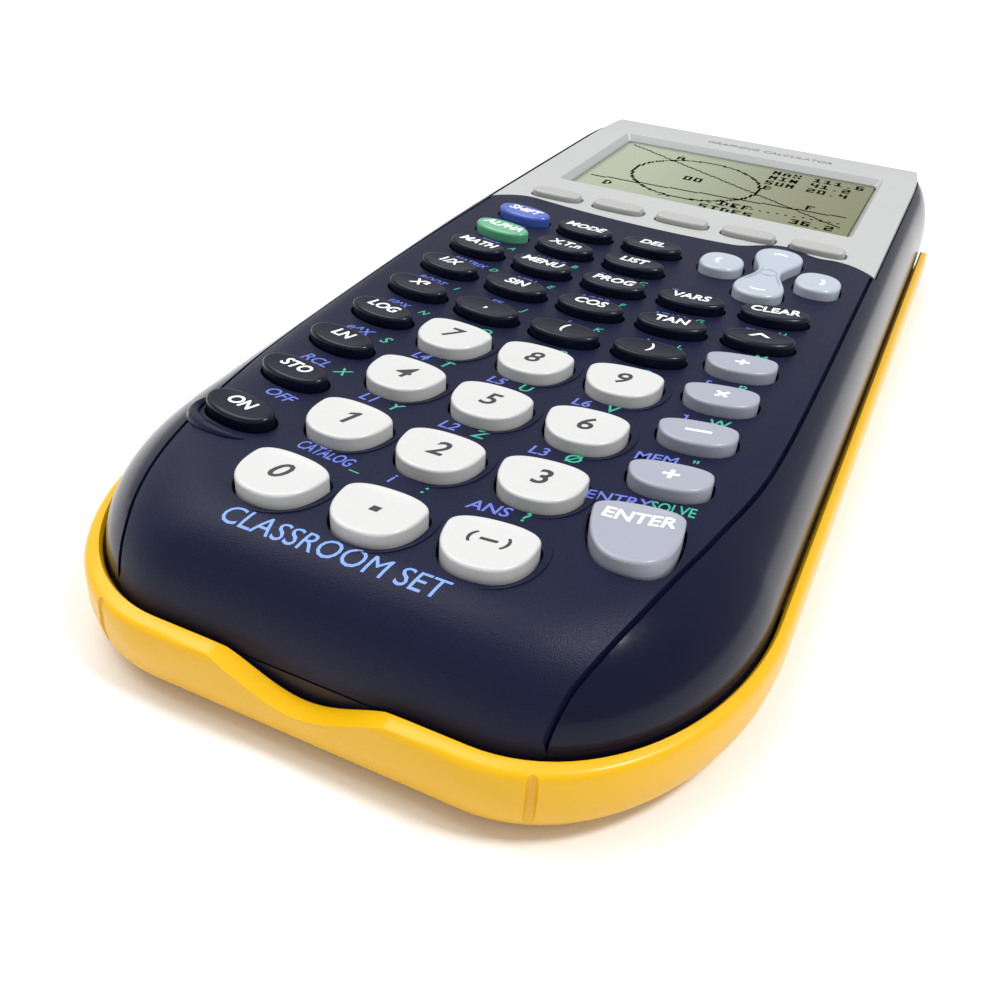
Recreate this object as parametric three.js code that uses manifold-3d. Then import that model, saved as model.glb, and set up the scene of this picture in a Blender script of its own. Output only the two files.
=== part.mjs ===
// Graphing calculator with its slide cover stored on the back.
// Millimetres, +Z up. The screen end points along +Y and the keys look up.
// The origin is the middle of the footprint, on the surface that the cover rests on.

import * as THREE from 'three';
import { mergeVertices } from 'three/addons/utils/BufferGeometryUtils.js';
import Module from 'manifold-3d';

const wasm = await Module();
wasm.setup();

// ---------------------------------------------------------------- driving dimensions

const FIT = 0.3;                 // gap between pieces that touch
const KEY_GAP = 0.35;            // gap between a key and its hole
const KEY_PITCH = 12.5;          // spacing of the five key columns
const SMILE_RISE = 2.6;          // how much the outer columns sit above the middle one
const OUTER_COLUMN = 2 * KEY_PITCH;

// heights above the resting surface
const COVER_FLOOR = 1.8;
const REAR_BOTTOM = COVER_FLOOR + 0.4;
const SEAM = 9.0;
const COVER_RIM = 10.0;
const FACE = 20.2;
const FACE_SKIN = 1.8;
const BEZEL_SEAT = 18.3;
const BEZEL_TOP = 20.1;
const SHELF_UNDERSIDE = 16.9;
const SHELF_START = 21;          // the thin shelf under the bezel begins here, in y
const LENS_BOTTOM = 17.2;
const LENS_TOP = 18.9;
const KEY_TOP = 21.8;

// plan of the body at the seam
const BODY = { halfWidth: 40.4, bottom: -93.3, top: 94.3 };
const LOWER_CENTRE = { x: 18.5, y: -62.0 };  // middle of the elliptical lower corners
const UPPER_CENTRE = { x: 34.4, y: 74.0 };   // middle of the elliptical upper corners
const SIDE_POINTS_Y = [-40, -18, 6, 30];     // extra outline points along each side
const FRONT_WALL = 2.0;
const REAR_WALL = 2.4;
// How far the shell draws in up to the face. The sides draw in more towards the bottom.
const SHOULDER = { side: 5.0, lowerSide: 13.5, from: 25, to: -66, bottom: 9.0, top: 2.0 };

// slide cover
const COVER = { halfWidth: 42.4, bottom: -96.3, top: 86.0 };
const COVER_WALL = 1.7;
const COVER_END_WALL = 2.6;
const COVER_WALL_END = 73.0;
const SCALLOP = { halfWidth: 12.5, depth: 3.6 };
const RAIL = { inner: 39.3, from: -56, to: 68, low: 6.0, high: 7.2 };
const RAIL_GAP = 0.5;
const COVER_NOTCH = { x: 25.5, depth: 0.7, halfWidth: 0.5 };

// screen
const WINDOW = { halfWidth: 28.2, bottom: 40.6, top: 79.9, slope: 1.2 };
const LENS_BORDER = 1.6;
const BEZEL_INSET = { side: 4.4, top: 1.7 };

// key rows, from the shift row down to the zero row
const FIRST_ROW_Y = 10.77;
const ROW_STEP = 9.33;
const ROW_STEP_GROWTH = 0.125;
const NUMBER_ROW_Y = -39.55;
const NUMBER_ROW_STEP = 13.43;
const FIRST_NUMBER_ROW = 5;
const ENTER_DROP = 0.7;
const FUNCTION_KEY_Y = 28.6;
const ARROWS = { x: 20.4, y: 10.1, reach: 8.0 };

// rear and inside pieces
const DOOR = { halfWidth: 22, bottom: 39, top: 87, thickness: 1.6 };
const CELL = { diameter: 10.3, length: 44.5, count: 4, y: 41.5, z: 9.45 };
const INSIDE_PLAN = { halfWidth: 34.4, bottom: -82.5, top: 34 };
const BOARD = { low: 11.4, high: 13.0 };
const MEMBRANE = { low: 13.3, high: 14.5 };
const LCD = { halfWidth: 32, bottom: 37.5, top: 83.5, low: 15.0 };
const PORTS = {
  carrierHalfWidth: 21, back: 7.8, front: 4.2, low: 4.9, high: 8.2,  // back and front from the top end
  socketX: -16, socketHalfWidth: 4.2, jackX: 16, jackRadius: 1.9, jackZ: 6.4,
};

// ---------------------------------------------------------------- materials

const plastic = (color, roughness) => new THREE.MeshStandardMaterial({ color, roughness, metalness: 0 });
const metal = (color, roughness) => new THREE.MeshStandardMaterial({ color, roughness, metalness: 1 });

const FINISH = {
  navy: () => plastic(0x1d2038, 0.45),
  silver: () => plastic(0xc9ccc9, 0.5),
  yellow: () => plastic(0xf4b90f, 0.35),
  black: () => plastic(0x15171f, 0.25),
  white: () => plastic(0xf1f0ea, 0.4),
  lavender: () => plastic(0xb9bccb, 0.4),
  arrow: () => plastic(0xc8cede, 0.4),
  blue: () => plastic(0x5674c4, 0.35),
  green: () => plastic(0x7cc0a0, 0.35),
  lens: () => plastic(0x9da383, 0.1),
  glass: () => plastic(0x7f8468, 0.2),
  board: () => plastic(0x1e6b3c, 0.6),
  rubber: () => plastic(0x8d8f94, 0.8),
  cell: () => metal(0xb9bcc2, 0.35),
  port: () => metal(0xa9abae, 0.4),
};

// ---------------------------------------------------------------- solids

// A closed geometry as a solid that can be cut and joined.
function solid(geometry) {
  const bare = geometry.clone();
  bare.deleteAttribute('normal');
  bare.deleteAttribute('uv');
  const merged = mergeVertices(bare, 1e-4);
  const mesh = new wasm.Mesh({
    numProp: 3,
    vertProperties: new Float32Array(merged.attributes.position.array),
    triVerts: new Uint32Array(merged.index.array),
  });
  return new wasm.Manifold(mesh);
}

// A solid as a geometry.
function geometryOf(body) {
  const mesh = body.getMesh();
  const geometry = new THREE.BufferGeometry();
  geometry.setAttribute('position', new THREE.BufferAttribute(new Float32Array(mesh.vertProperties), 3));
  geometry.setIndex(new THREE.BufferAttribute(new Uint32Array(mesh.triVerts), 1));
  geometry.computeVertexNormals();
  return geometry;
}

// A closed skin through level outlines of equal length, given from the bottom up as { z, points }.
function loft(levels) {
  const count = levels[0].points.length;
  const positions = levels.flatMap(({ z, points }) => points.flatMap((p) => [p.x, p.y, z]));
  const faces = [];
  for (let level = 0; level < levels.length - 1; level += 1) {
    for (let i = 0; i < count; i += 1) {
      const a = level * count + i;
      const b = level * count + ((i + 1) % count);
      faces.push(a, b, b + count, a, b + count, a + count);
    }
  }
  const lastLevel = (levels.length - 1) * count;
  for (const [a, b, c] of THREE.ShapeUtils.triangulateShape(levels[0].points, [])) {
    faces.push(c, b, a);
  }
  for (const [a, b, c] of THREE.ShapeUtils.triangulateShape(levels.at(-1).points, [])) {
    faces.push(lastLevel + a, lastLevel + b, lastLevel + c);
  }
  const geometry = new THREE.BufferGeometry();
  geometry.setAttribute('position', new THREE.Float32BufferAttribute(positions, 3));
  geometry.setIndex(faces);
  geometry.computeVertexNormals();
  return geometry;
}

function prism(points, low, high) {
  return loft([{ z: low, points }, { z: high, points }]);
}

function block(x0, x1, y0, y1, z0, z1) {
  return new THREE.BoxGeometry(x1 - x0, y1 - y0, z1 - z0)
    .translate((x0 + x1) / 2, (y0 + y1) / 2, (z0 + z1) / 2);
}

function cutAll(body, tools) {
  return tools.reduce((rest, tool) => rest.subtract(solid(tool)), body);
}

// ---------------------------------------------------------------- outlines, counter-clockwise

// Quarter of an ellipse about a centre, from one angle to another.
function ellipseArc(centre, radiusX, radiusY, fromDegrees, toDegrees, steps) {
  const points = [];
  for (let i = 0; i <= steps; i += 1) {
    const angle = THREE.MathUtils.degToRad(fromDegrees + ((toDegrees - fromDegrees) * i) / steps);
    points.push(new THREE.Vector2(
      centre.x + radiusX * Math.cos(angle),
      centre.y + radiusY * Math.sin(angle),
    ));
  }
  return points;
}

// The same points on the other side, in counter-clockwise order again.
function mirrored(points) {
  return points.map((p) => new THREE.Vector2(-p.x, p.y)).reverse();
}

// Plan of the case or the cover: large elliptical corners below, tight ones above.
// Every inset keeps the middles of the corners, so outlines nest evenly.
function caseOutline(plan, inset = { side: 0, bottom: 0, top: 0 }) {
  const halfWidth = plan.halfWidth - inset.side;
  const lowerY = LOWER_CENTRE.y - (plan.bottom + inset.bottom);
  const upperY = plan.top - inset.top - UPPER_CENTRE.y;
  const right = [
    ...ellipseArc(LOWER_CENTRE, halfWidth - LOWER_CENTRE.x, lowerY, -90, 0, 8),
    ...SIDE_POINTS_Y.map((y) => new THREE.Vector2(halfWidth, y)),
    ...ellipseArc(UPPER_CENTRE, halfWidth - UPPER_CENTRE.x, upperY, 0, 90, 4),
  ];
  return [...right, ...mirrored(right)];
}

// Two half super-ellipses on one widest line: a lens or a D, depending on rise and drop.
function keyOutline(shape, grow = 0) {
  const steps = 12;
  const points = [];
  for (let i = 0; i < steps; i += 1) {
    const angle = (2 * Math.PI * (i + 0.5)) / steps;
    const across = Math.cos(angle);
    const along = Math.sin(angle);
    const upper = along > 0;
    const reach = (upper ? shape.rise : shape.drop) + grow;
    points.push(new THREE.Vector2(
      (shape.halfWidth + grow) * Math.sign(across) * Math.abs(across) ** shape.fullness,
      shape.widest + reach * Math.sign(along) * Math.abs(along) ** shape.fullness,
    ));
  }
  return points;
}

// Hourglass of the up and down rocker: two round lobes joined by a waist.
function rockerOutline(shape, grow = 0) {
  const points = [];
  const lobe = shape.halfLength - shape.lobeRadius;
  const radius = shape.lobeRadius + grow;
  points.push(new THREE.Vector2(shape.waist + grow, 0));
  points.push(...ellipseArc({ x: 0, y: lobe }, radius, radius, -20, 200, 9));
  points.push(new THREE.Vector2(-shape.waist - grow, 0));
  points.push(...ellipseArc({ x: 0, y: -lobe }, radius, radius, 160, 380, 9));
  return points;
}

// ---------------------------------------------------------------- key shapes and places

const KEY_SHAPES = {
  lens: { halfWidth: 5.15, rise: 2.45, drop: 2.85, widest: 0, fullness: 0.95 },
  number: { halfWidth: 5.05, rise: 2.3, drop: 6.15, widest: 1.8, fullness: 0.85 },
  operator: { halfWidth: 4.85, rise: 1.7, drop: 4.0, widest: 1.6, fullness: 0.82 },
  enter: { halfWidth: 5.0, rise: 1.8, drop: 8.7, widest: 3.6, fullness: 0.82 },
  arrow: { halfWidth: 3.6, rise: 3.9, drop: 3.9, widest: 0, fullness: 0.85 },
  capsule: { halfWidth: 4.85, rise: 1.95, drop: 1.95, widest: 0, fullness: 0.6 },
};
const ROCKER = { halfLength: 11.3, lobeRadius: 3.95, waist: 2.0 };
const KEY_FLANGE = 0.7;        // how far the retaining flange reaches past the key
const FLANGE_THICKNESS = 0.8;
const KEY_BEVEL = 0.3;
const ROCKER_BOTTOM = 16.6;

const KEY_ROWS = [
  ['shift_key', 'mode_key', 'delete_key'],
  ['alpha_key', 'variable_key', 'list_key'],
  ['math_key', 'apps_key', 'program_key', 'vars_key', 'clear_key'],
  ['reciprocal_key', 'sine_key', 'cosine_key', 'tangent_key', 'power_key'],
  ['square_key', 'comma_key', 'open_bracket_key', 'close_bracket_key', 'divide_key'],
  ['log_key', 'seven_key', 'eight_key', 'nine_key', 'multiply_key'],
  ['ln_key', 'four_key', 'five_key', 'six_key', 'subtract_key'],
  ['store_key', 'one_key', 'two_key', 'three_key', 'add_key'],
  ['on_key', 'zero_key', 'point_key', 'negate_key', 'enter_key'],
];
const OPERATORS = ['divide_key', 'multiply_key', 'subtract_key', 'add_key'];

function smile(x) {
  return SMILE_RISE * (x / OUTER_COLUMN) ** 2;
}

function smileTilt(x) {
  return Math.atan((2 * SMILE_RISE * x) / OUTER_COLUMN ** 2);
}

function keyStyle(name, row, column) {
  if (name === 'enter_key') {
    return { shape: KEY_SHAPES.enter, finish: FINISH.lavender };
  }
  if (OPERATORS.includes(name)) {
    return { shape: KEY_SHAPES.operator, finish: FINISH.lavender };
  }
  if (row >= FIRST_NUMBER_ROW && column >= 1 && column <= 3) {
    return { shape: KEY_SHAPES.number, finish: FINISH.white };
  }
  const finish = { shift_key: FINISH.blue, alpha_key: FINISH.green }[name] ?? FINISH.black;
  return { shape: KEY_SHAPES.lens, finish };
}

function rowY(row, shape) {
  if (shape === KEY_SHAPES.number) {
    return NUMBER_ROW_Y - NUMBER_ROW_STEP * (row - FIRST_NUMBER_ROW);
  }
  const y = FIRST_ROW_Y - ROW_STEP * row - ROW_STEP_GROWTH * row ** 2;
  return shape === KEY_SHAPES.enter ? y - ENTER_DROP : y;
}

// Every sprung key as { name, outline, x, y, turn, underside, top, finish }.
function keyPlaces() {
  const places = [];
  KEY_ROWS.forEach((names, row) => names.forEach((name, column) => {
    const { shape, finish } = keyStyle(name, row, column);
    const x = (column - 2) * KEY_PITCH;
    places.push({
      name,
      outline: (grow) => keyOutline(shape, grow),
      x,
      y: rowY(row, shape) + smile(x),
      turn: smileTilt(x),
      underside: FACE - FACE_SKIN,
      top: KEY_TOP,
      finish,
    });
  }));
  for (const [name, side] of [['left_key', -1], ['right_key', 1]]) {
    places.push({
      name,
      outline: (grow) => keyOutline(KEY_SHAPES.arrow, grow),
      x: ARROWS.x + side * ARROWS.reach,
      y: ARROWS.y,
      turn: 0,
      underside: FACE - FACE_SKIN,
      top: KEY_TOP,
      finish: FINISH.arrow,
    });
  }
  for (let i = 0; i < 5; i += 1) {
    places.push({
      name: `function_key_${i + 1}`,
      outline: (grow) => keyOutline(KEY_SHAPES.capsule, grow),
      x: (i - 2) * KEY_PITCH,
      y: FUNCTION_KEY_Y,
      turn: 0,
      underside: SHELF_UNDERSIDE,
      top: BEZEL_TOP + 1.1,
      finish: FINISH.silver,
    });
  }
  return places;
}

const KEYS = keyPlaces();
const ROCKER_PLACE = {
  name: 'up_down_key',
  outline: (grow) => rockerOutline(ROCKER, grow),
  x: ARROWS.x,
  y: ARROWS.y,
  turn: 0,
};

// The room that the flange of a key needs below the shell.
function flangePocket(place) {
  return prism(place.outline(KEY_FLANGE + FIT), SEAM, place.underside)
    .rotateZ(place.turn)
    .translate(place.x, place.y, 0);
}

// The hole that a key needs through the shell and the bezel.
function keyHole(place) {
  return prism(place.outline(KEY_GAP), ROCKER_BOTTOM - 2, KEY_TOP)
    .rotateZ(place.turn)
    .translate(place.x, place.y, 0);
}

// ---------------------------------------------------------------- keys

function keyCap(place) {
  const flangeTop = place.underside - FIT;
  return loft([
    { z: flangeTop - FLANGE_THICKNESS, points: place.outline(KEY_FLANGE) },
    { z: flangeTop, points: place.outline(KEY_FLANGE) },
    { z: flangeTop, points: place.outline(0) },
    { z: place.top - KEY_BEVEL, points: place.outline(0) },
    { z: place.top, points: place.outline(-KEY_BEVEL) },
  ]);
}

function rockerCap() {
  return loft([
    { z: ROCKER_BOTTOM, points: ROCKER_PLACE.outline(-0.3) },
    { z: KEY_TOP - KEY_BEVEL, points: ROCKER_PLACE.outline(-0.1) },
    { z: KEY_TOP, points: ROCKER_PLACE.outline(-KEY_BEVEL) },
  ]);
}

// ---------------------------------------------------------------- screen bezel outline

// Lower edge of the light plate: it follows the smile of the rows, rounds off at the sides
// and bulges around the arrow keys.
const BEZEL_EDGE = {
  base: 22.6, rise: 2.4, cornerStart: 27.5, cornerDrop: 6, cornerReach: 8.5,
  bulgeX: 19, bulgeHeight: 3.6, bulgeHalfWidth: 8,
};

function bezelEdgeY(x) {
  const edge = BEZEL_EDGE;
  const arc = edge.rise * (x / OUTER_COLUMN) ** 2;
  const corner = Math.max(0, (Math.abs(x) - edge.cornerStart) / edge.cornerReach);
  const fromBulge = (x - edge.bulgeX) / edge.bulgeHalfWidth;
  const bulge = Math.abs(fromBulge) < 1 ? Math.cos((Math.PI / 2) * fromBulge) ** 2 : 0;
  return edge.base + arc - edge.cornerDrop * corner ** 2 + edge.bulgeHeight * bulge;
}

function bezelOutline(grow = 0) {
  const plan = BODY;
  const halfWidth = plan.halfWidth - BEZEL_INSET.side + grow;
  const top = plan.top - BEZEL_INSET.top + grow;
  const radiusX = halfWidth - UPPER_CENTRE.x;
  const radiusY = top - UPPER_CENTRE.y;
  const points = [
    ...ellipseArc(UPPER_CENTRE, radiusX, radiusY, 0, 90, 4),
    ...ellipseArc({ x: -UPPER_CENTRE.x, y: UPPER_CENTRE.y }, radiusX, radiusY, 90, 180, 4),
  ];
  const steps = 32;
  for (let i = 0; i <= steps; i += 1) {
    const x = -halfWidth + (2 * halfWidth * i) / steps;
    points.push(new THREE.Vector2(x, bezelEdgeY(x) - grow));
  }
  return points;
}

// ---------------------------------------------------------------- casings

// Share of the half width that the side shoulder takes away at a given y.
function sideDraw(y) {
  const along = THREE.MathUtils.clamp((SHOULDER.from - y) / (SHOULDER.from - SHOULDER.to), 0, 1);
  const inset = THREE.MathUtils.lerp(SHOULDER.side, SHOULDER.lowerSide, along ** 2);
  return inset / BODY.halfWidth;
}

// Levels of the shell between the seam and the face, on a quarter ellipse in section.
function shoulderLevels(extraInset, seamZ, faceZ, steps) {
  const levels = [];
  for (let i = 0; i <= steps; i += 1) {
    const angle = (Math.PI / 2) * (i / steps);
    const drawn = 1 - Math.cos(angle);
    const outline = caseOutline(BODY, {
      side: extraInset,
      bottom: extraInset + SHOULDER.bottom * drawn,
      top: extraInset + SHOULDER.top * drawn,
    });
    levels.push({
      z: seamZ + (faceZ - seamZ) * Math.sin(angle),
      points: outline.map((p) => new THREE.Vector2(p.x * (1 - drawn * sideDraw(p.y)), p.y)),
    });
  }
  return levels;
}

// Fine groove that parts the grained keypad field from the smooth cheeks, on the right side.
function cheekGroove() {
  const line = new THREE.CatmullRomCurve3([
    new THREE.Vector3(36.6, 20, 0),
    new THREE.Vector3(36.1, -10, 0),
    new THREE.Vector3(34.7, -45, 0),
    new THREE.Vector3(31.7, -66, 0),
    new THREE.Vector3(28.6, -83, 0),
  ]).getPoints(14);
  const halfWidth = 0.3;
  const outer = line.map((p) => new THREE.Vector2(p.x + halfWidth, p.y));
  const inner = line.map((p) => new THREE.Vector2(p.x - halfWidth, p.y));
  return prism([...inner, ...outer.reverse()], BEZEL_SEAT, FACE + 1);
}

function frontCase() {
  const shell = solid(loft(shoulderLevels(0, SEAM, FACE, 5)));
  const shelf = block(-BODY.halfWidth, BODY.halfWidth, SHELF_START, BODY.top, SHELF_UNDERSIDE, FACE);
  const hollow = solid(loft([
    {
      z: SEAM - 1,
      points: caseOutline(BODY, { side: FRONT_WALL, bottom: FRONT_WALL, top: FRONT_WALL }),
    },
    ...shoulderLevels(FRONT_WALL, SEAM, FACE - FACE_SKIN, 3),
  ])).subtract(solid(shelf));
  const screenOpening = block(
    -WINDOW.halfWidth - LENS_BORDER, WINDOW.halfWidth + LENS_BORDER,
    WINDOW.bottom - LENS_BORDER, WINDOW.top + LENS_BORDER,
    SEAM, FACE + 1,
  );
  const groove = cheekGroove();
  const mirroredGroove = geometryOf(solid(groove).scale([-1, 1, 1]));
  return cutAll(shell.subtract(hollow), [
    prism(bezelOutline(FIT), BEZEL_SEAT, FACE + 2),
    screenOpening,
    groove,
    mirroredGroove,
    ...KEYS.map(flangePocket),
    ...[...KEYS, ROCKER_PLACE].map(keyHole),
  ]);
}

// Light plate around the screen, with a sloped frame down to the lens.
function screenBezel() {
  const plate = solid(loft([
    { z: BEZEL_SEAT + FIT, points: bezelOutline(0) },
    { z: BEZEL_TOP - 0.4, points: bezelOutline(0) },
    { z: BEZEL_TOP, points: bezelOutline(-0.4) },
  ]));
  const rectangle = (grow) => [
    new THREE.Vector2(-WINDOW.halfWidth - grow, WINDOW.bottom - grow),
    new THREE.Vector2(WINDOW.halfWidth + grow, WINDOW.bottom - grow),
    new THREE.Vector2(WINDOW.halfWidth + grow, WINDOW.top + grow),
    new THREE.Vector2(-WINDOW.halfWidth - grow, WINDOW.top + grow),
  ];
  const opening = loft([
    { z: BEZEL_SEAT, points: rectangle(-0.25) },
    { z: BEZEL_TOP + 0.3, points: rectangle(WINDOW.slope) },
  ]);
  const functionKeys = KEYS.filter((key) => key.name.startsWith('function'));
  return cutAll(plate, [opening, ...functionKeys.map(keyHole)]);
}

// Clear window: a rim under the bezel and a raised middle in its opening.
function screenLens() {
  const sheet = (border, low, high) => solid(block(
    -WINDOW.halfWidth - border, WINDOW.halfWidth + border,
    WINDOW.bottom - border, WINDOW.top + border,
    low, high,
  ));
  const rim = sheet(LENS_BORDER - FIT, LENS_BOTTOM, BEZEL_SEAT);
  return rim.add(sheet(-FIT, LENS_BOTTOM, LENS_TOP));
}

function rearCase() {
  const level = (z, inset) => ({
    z,
    points: caseOutline(BODY, { side: inset, bottom: inset, top: inset }),
  });
  const shell = solid(loft([
    level(REAR_BOTTOM, 4),
    level(REAR_BOTTOM + 1.2, 1.2),
    level(REAR_BOTTOM + 3, 0.3),
    level(SEAM - FIT, 0),
  ]));
  const hollow = solid(loft([
    level(REAR_BOTTOM + 1.7, REAR_WALL + 2),
    level(REAR_BOTTOM + 3.2, REAR_WALL),
    level(SEAM + 1, REAR_WALL),
  ]));
  const grooveDepth = 10;
  const grooves = [-1, 1].map((side) => block(
    -grooveDepth, grooveDepth,
    RAIL.from - 40, RAIL.to + RAIL_GAP, RAIL.low - RAIL_GAP, RAIL.high + RAIL_GAP,
  ).translate(side * (RAIL.inner - 0.4 + grooveDepth), 0, 0));
  return cutAll(shell.subtract(hollow), [
    ...grooves,
    block(
      -DOOR.halfWidth - FIT, DOOR.halfWidth + FIT,
      DOOR.bottom - FIT, DOOR.top + FIT, 0, REAR_BOTTOM + 2.5,
    ),
    block(
      PORTS.socketX - PORTS.socketHalfWidth, PORTS.socketX + PORTS.socketHalfWidth,
      BODY.top - 5, BODY.top + 5, PORTS.low, PORTS.high - 0.2,
    ),
    new THREE.CylinderGeometry(PORTS.jackRadius, PORTS.jackRadius, 10, 16)
      .translate(PORTS.jackX, BODY.top, PORTS.jackZ),
  ]);
}

function batteryDoor() {
  const plate = solid(block(
    -DOOR.halfWidth, DOOR.halfWidth, DOOR.bottom, DOOR.top,
    REAR_BOTTOM, REAR_BOTTOM + DOOR.thickness,
  ));
  const gripGrooves = [0, 1, 2].map((i) => block(
    -8, 8, DOOR.bottom + 4 + 2.4 * i, DOOR.bottom + 5 + 2.4 * i, REAR_BOTTOM - 1, REAR_BOTTOM + 0.5,
  ));
  return cutAll(plate, gripGrooves);
}

// ---------------------------------------------------------------- slide cover

// Thumb scallop in the rim of the closed end, as a curtain along Y.
function scallopCutter() {
  const steps = 14;
  const shape = new THREE.Shape();
  shape.moveTo(SCALLOP.halfWidth, COVER_RIM + 2);
  shape.lineTo(-SCALLOP.halfWidth, COVER_RIM + 2);
  for (let i = 0; i <= steps; i += 1) {
    const x = -SCALLOP.halfWidth + (2 * SCALLOP.halfWidth * i) / steps;
    const dip = SCALLOP.depth * Math.cos((Math.PI / 2) * (x / SCALLOP.halfWidth)) ** 2;
    shape.lineTo(x, COVER_RIM + 0.01 - dip);
  }
  return new THREE.ExtrudeGeometry(shape, { depth: 10, bevelEnabled: false })
    .rotateX(Math.PI / 2)
    .translate(0, -86, 0);
}

// Side walls end short of the screen end, with a small radius at the top.
function wallEndCutter() {
  const shape = new THREE.Shape([
    new THREE.Vector2(COVER_WALL_END - 2.4, COVER_RIM + 3),
    new THREE.Vector2(COVER_WALL_END - 2.4, COVER_RIM),
    new THREE.Vector2(COVER_WALL_END - 0.6, COVER_RIM - 0.8),
    new THREE.Vector2(COVER_WALL_END, COVER_RIM - 2.4),
    new THREE.Vector2(COVER_WALL_END + 0.8, COVER_FLOOR),
    new THREE.Vector2(120, COVER_FLOOR),
    new THREE.Vector2(120, COVER_RIM + 3),
  ]);
  return new THREE.ExtrudeGeometry(shape, { depth: 120, bevelEnabled: false })
    .rotateX(Math.PI / 2)
    .rotateZ(Math.PI / 2)
    .translate(-60, 0, 0);
}

function slideCover() {
  const plan = { ...COVER, top: 100 };
  const level = (z, inset) => ({
    z,
    points: caseOutline(plan, { side: inset, bottom: inset, top: 0 }),
  });
  const inner = (z, inset) => ({
    z,
    points: caseOutline(plan, { side: COVER_WALL + inset, bottom: COVER_END_WALL + inset, top: 0 }),
  });
  const tub = solid(loft([
    level(0, 5),
    level(0.8, 2.7),
    level(2.0, 1.2),
    level(3.8, 0.3),
    level(6, 0),
    level(COVER_RIM - 0.5, 0.3),
    level(COVER_RIM, 0.8),
  ]));
  const hollow = solid(loft([
    inner(COVER_FLOOR, 2),
    inner(COVER_FLOOR + 1.6, 0.2),
    inner(COVER_FLOOR + 3, 0),
    inner(COVER_RIM + 1, 0),
  ]));
  const notches = [-1, 1].map((side) => {
    const wallY = COVER.bottom + COVER_NOTCH.depth + 0.9;
    return new THREE.CylinderGeometry(COVER_NOTCH.halfWidth, COVER_NOTCH.halfWidth, 7, 6)
      .rotateX(Math.PI / 2)
      .translate(side * COVER_NOTCH.x, wallY - 0.6, 6.5);
  });
  let tray = cutAll(tub.subtract(hollow), [
    block(-60, 60, COVER.top, 120, -1, COVER_RIM + 1),
    wallEndCutter(),
    scallopCutter(),
    ...notches,
  ]);
  const railMiddle = (RAIL.inner + COVER.halfWidth - COVER_WALL / 2) / 2;
  const railReach = railMiddle - RAIL.inner;
  for (const side of [-1, 1]) {
    const rail = block(-railReach, railReach, RAIL.from, RAIL.to, RAIL.low, RAIL.high)
      .translate(side * railMiddle, 0, 0);
    tray = tray.add(solid(rail));
  }
  return tray;
}

// ---------------------------------------------------------------- inside pieces

// Four cells side by side in their bay, held together as one pack.
function batteryCells() {
  const pitch = CELL.diameter - 0.1;
  const cells = Array.from({ length: CELL.count }, (unused, i) => (
    new THREE.CylinderGeometry(CELL.diameter / 2, CELL.diameter / 2, CELL.length, 16)
      .rotateY(Math.PI / 16)
      .translate((i - (CELL.count - 1) / 2) * pitch, CELL.y + CELL.length / 2, CELL.z)
  ));
  const [first, ...others] = cells.map(solid);
  const bridge = solid(block(-20, 20, CELL.y + 20, CELL.y + 24, CELL.z - 1, CELL.z + 1));
  return others.reduce((pack, cell) => pack.add(cell), first).add(bridge);
}

function insidePlate(inset, { low, high }) {
  const plan = INSIDE_PLAN;
  const halfWidth = plan.halfWidth - inset;
  const radiusY = LOWER_CENTRE.y - plan.bottom - inset;
  const right = [
    ...ellipseArc(LOWER_CENTRE, halfWidth - LOWER_CENTRE.x, radiusY, -90, 0, 6),
    new THREE.Vector2(halfWidth, plan.top - inset),
  ];
  return prism([...right, ...mirrored(right)], low, high);
}

function lcdModule() {
  return block(-LCD.halfWidth, LCD.halfWidth, LCD.bottom, LCD.top, LCD.low, SHELF_UNDERSIDE - FIT);
}

// Data socket and link jack on one carrier behind the openings of the screen end.
function portBlock() {
  const carrier = solid(block(
    -PORTS.carrierHalfWidth, PORTS.carrierHalfWidth,
    BODY.top - PORTS.back, BODY.top - PORTS.front, PORTS.low, PORTS.high,
  ));
  const rim = 0.8;
  return cutAll(carrier, [
    block(
      PORTS.socketX - PORTS.socketHalfWidth + rim, PORTS.socketX + PORTS.socketHalfWidth - rim,
      BODY.top - PORTS.back + 1, BODY.top, PORTS.low + 0.4, PORTS.high - 0.6,
    ),
    new THREE.CylinderGeometry(1.25, 1.25, 5, 12)
      .translate(PORTS.jackX, BODY.top - PORTS.front, PORTS.jackZ),
  ]);
}

// ---------------------------------------------------------------- assembly

// The body is drawn about the keypad; here it is set over the middle of its length.
const calculator = new THREE.Group();
const body = new THREE.Group();
body.position.y = -(COVER.bottom + BODY.top) / 2;
calculator.add(body);

function addPiece(name, geometry, finish, parent = body) {
  const mesh = new THREE.Mesh(geometry, finish());
  mesh.name = name;
  parent.add(mesh);
  return mesh;
}

addPiece('front_case', geometryOf(frontCase()), FINISH.navy);
addPiece('screen_bezel', geometryOf(screenBezel()), FINISH.silver);
addPiece('screen_lens', geometryOf(screenLens()), FINISH.lens);
addPiece('lcd_module', lcdModule(), FINISH.glass);
addPiece('rear_case', geometryOf(rearCase()), FINISH.navy);
addPiece('battery_door', geometryOf(batteryDoor()), FINISH.navy);
addPiece('slide_cover', geometryOf(slideCover()), FINISH.yellow);
addPiece('circuit_board', insidePlate(0, BOARD), FINISH.board);
addPiece('keypad_membrane', insidePlate(1, MEMBRANE), FINISH.rubber);
addPiece('battery_cells', geometryOf(batteryCells()), FINISH.cell);
addPiece('port_block', geometryOf(portBlock()), FINISH.port);

const keypad = new THREE.Group();
body.add(keypad);
for (const key of KEYS) {
  const mesh = addPiece(key.name, keyCap(key), key.finish, keypad);
  mesh.position.set(key.x, key.y, 0);
  mesh.rotation.z = key.turn;
}
const rocker = addPiece(ROCKER_PLACE.name, rockerCap(), FINISH.arrow, keypad);
rocker.position.set(ROCKER_PLACE.x, ROCKER_PLACE.y, 0);

export default calculator;
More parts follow.
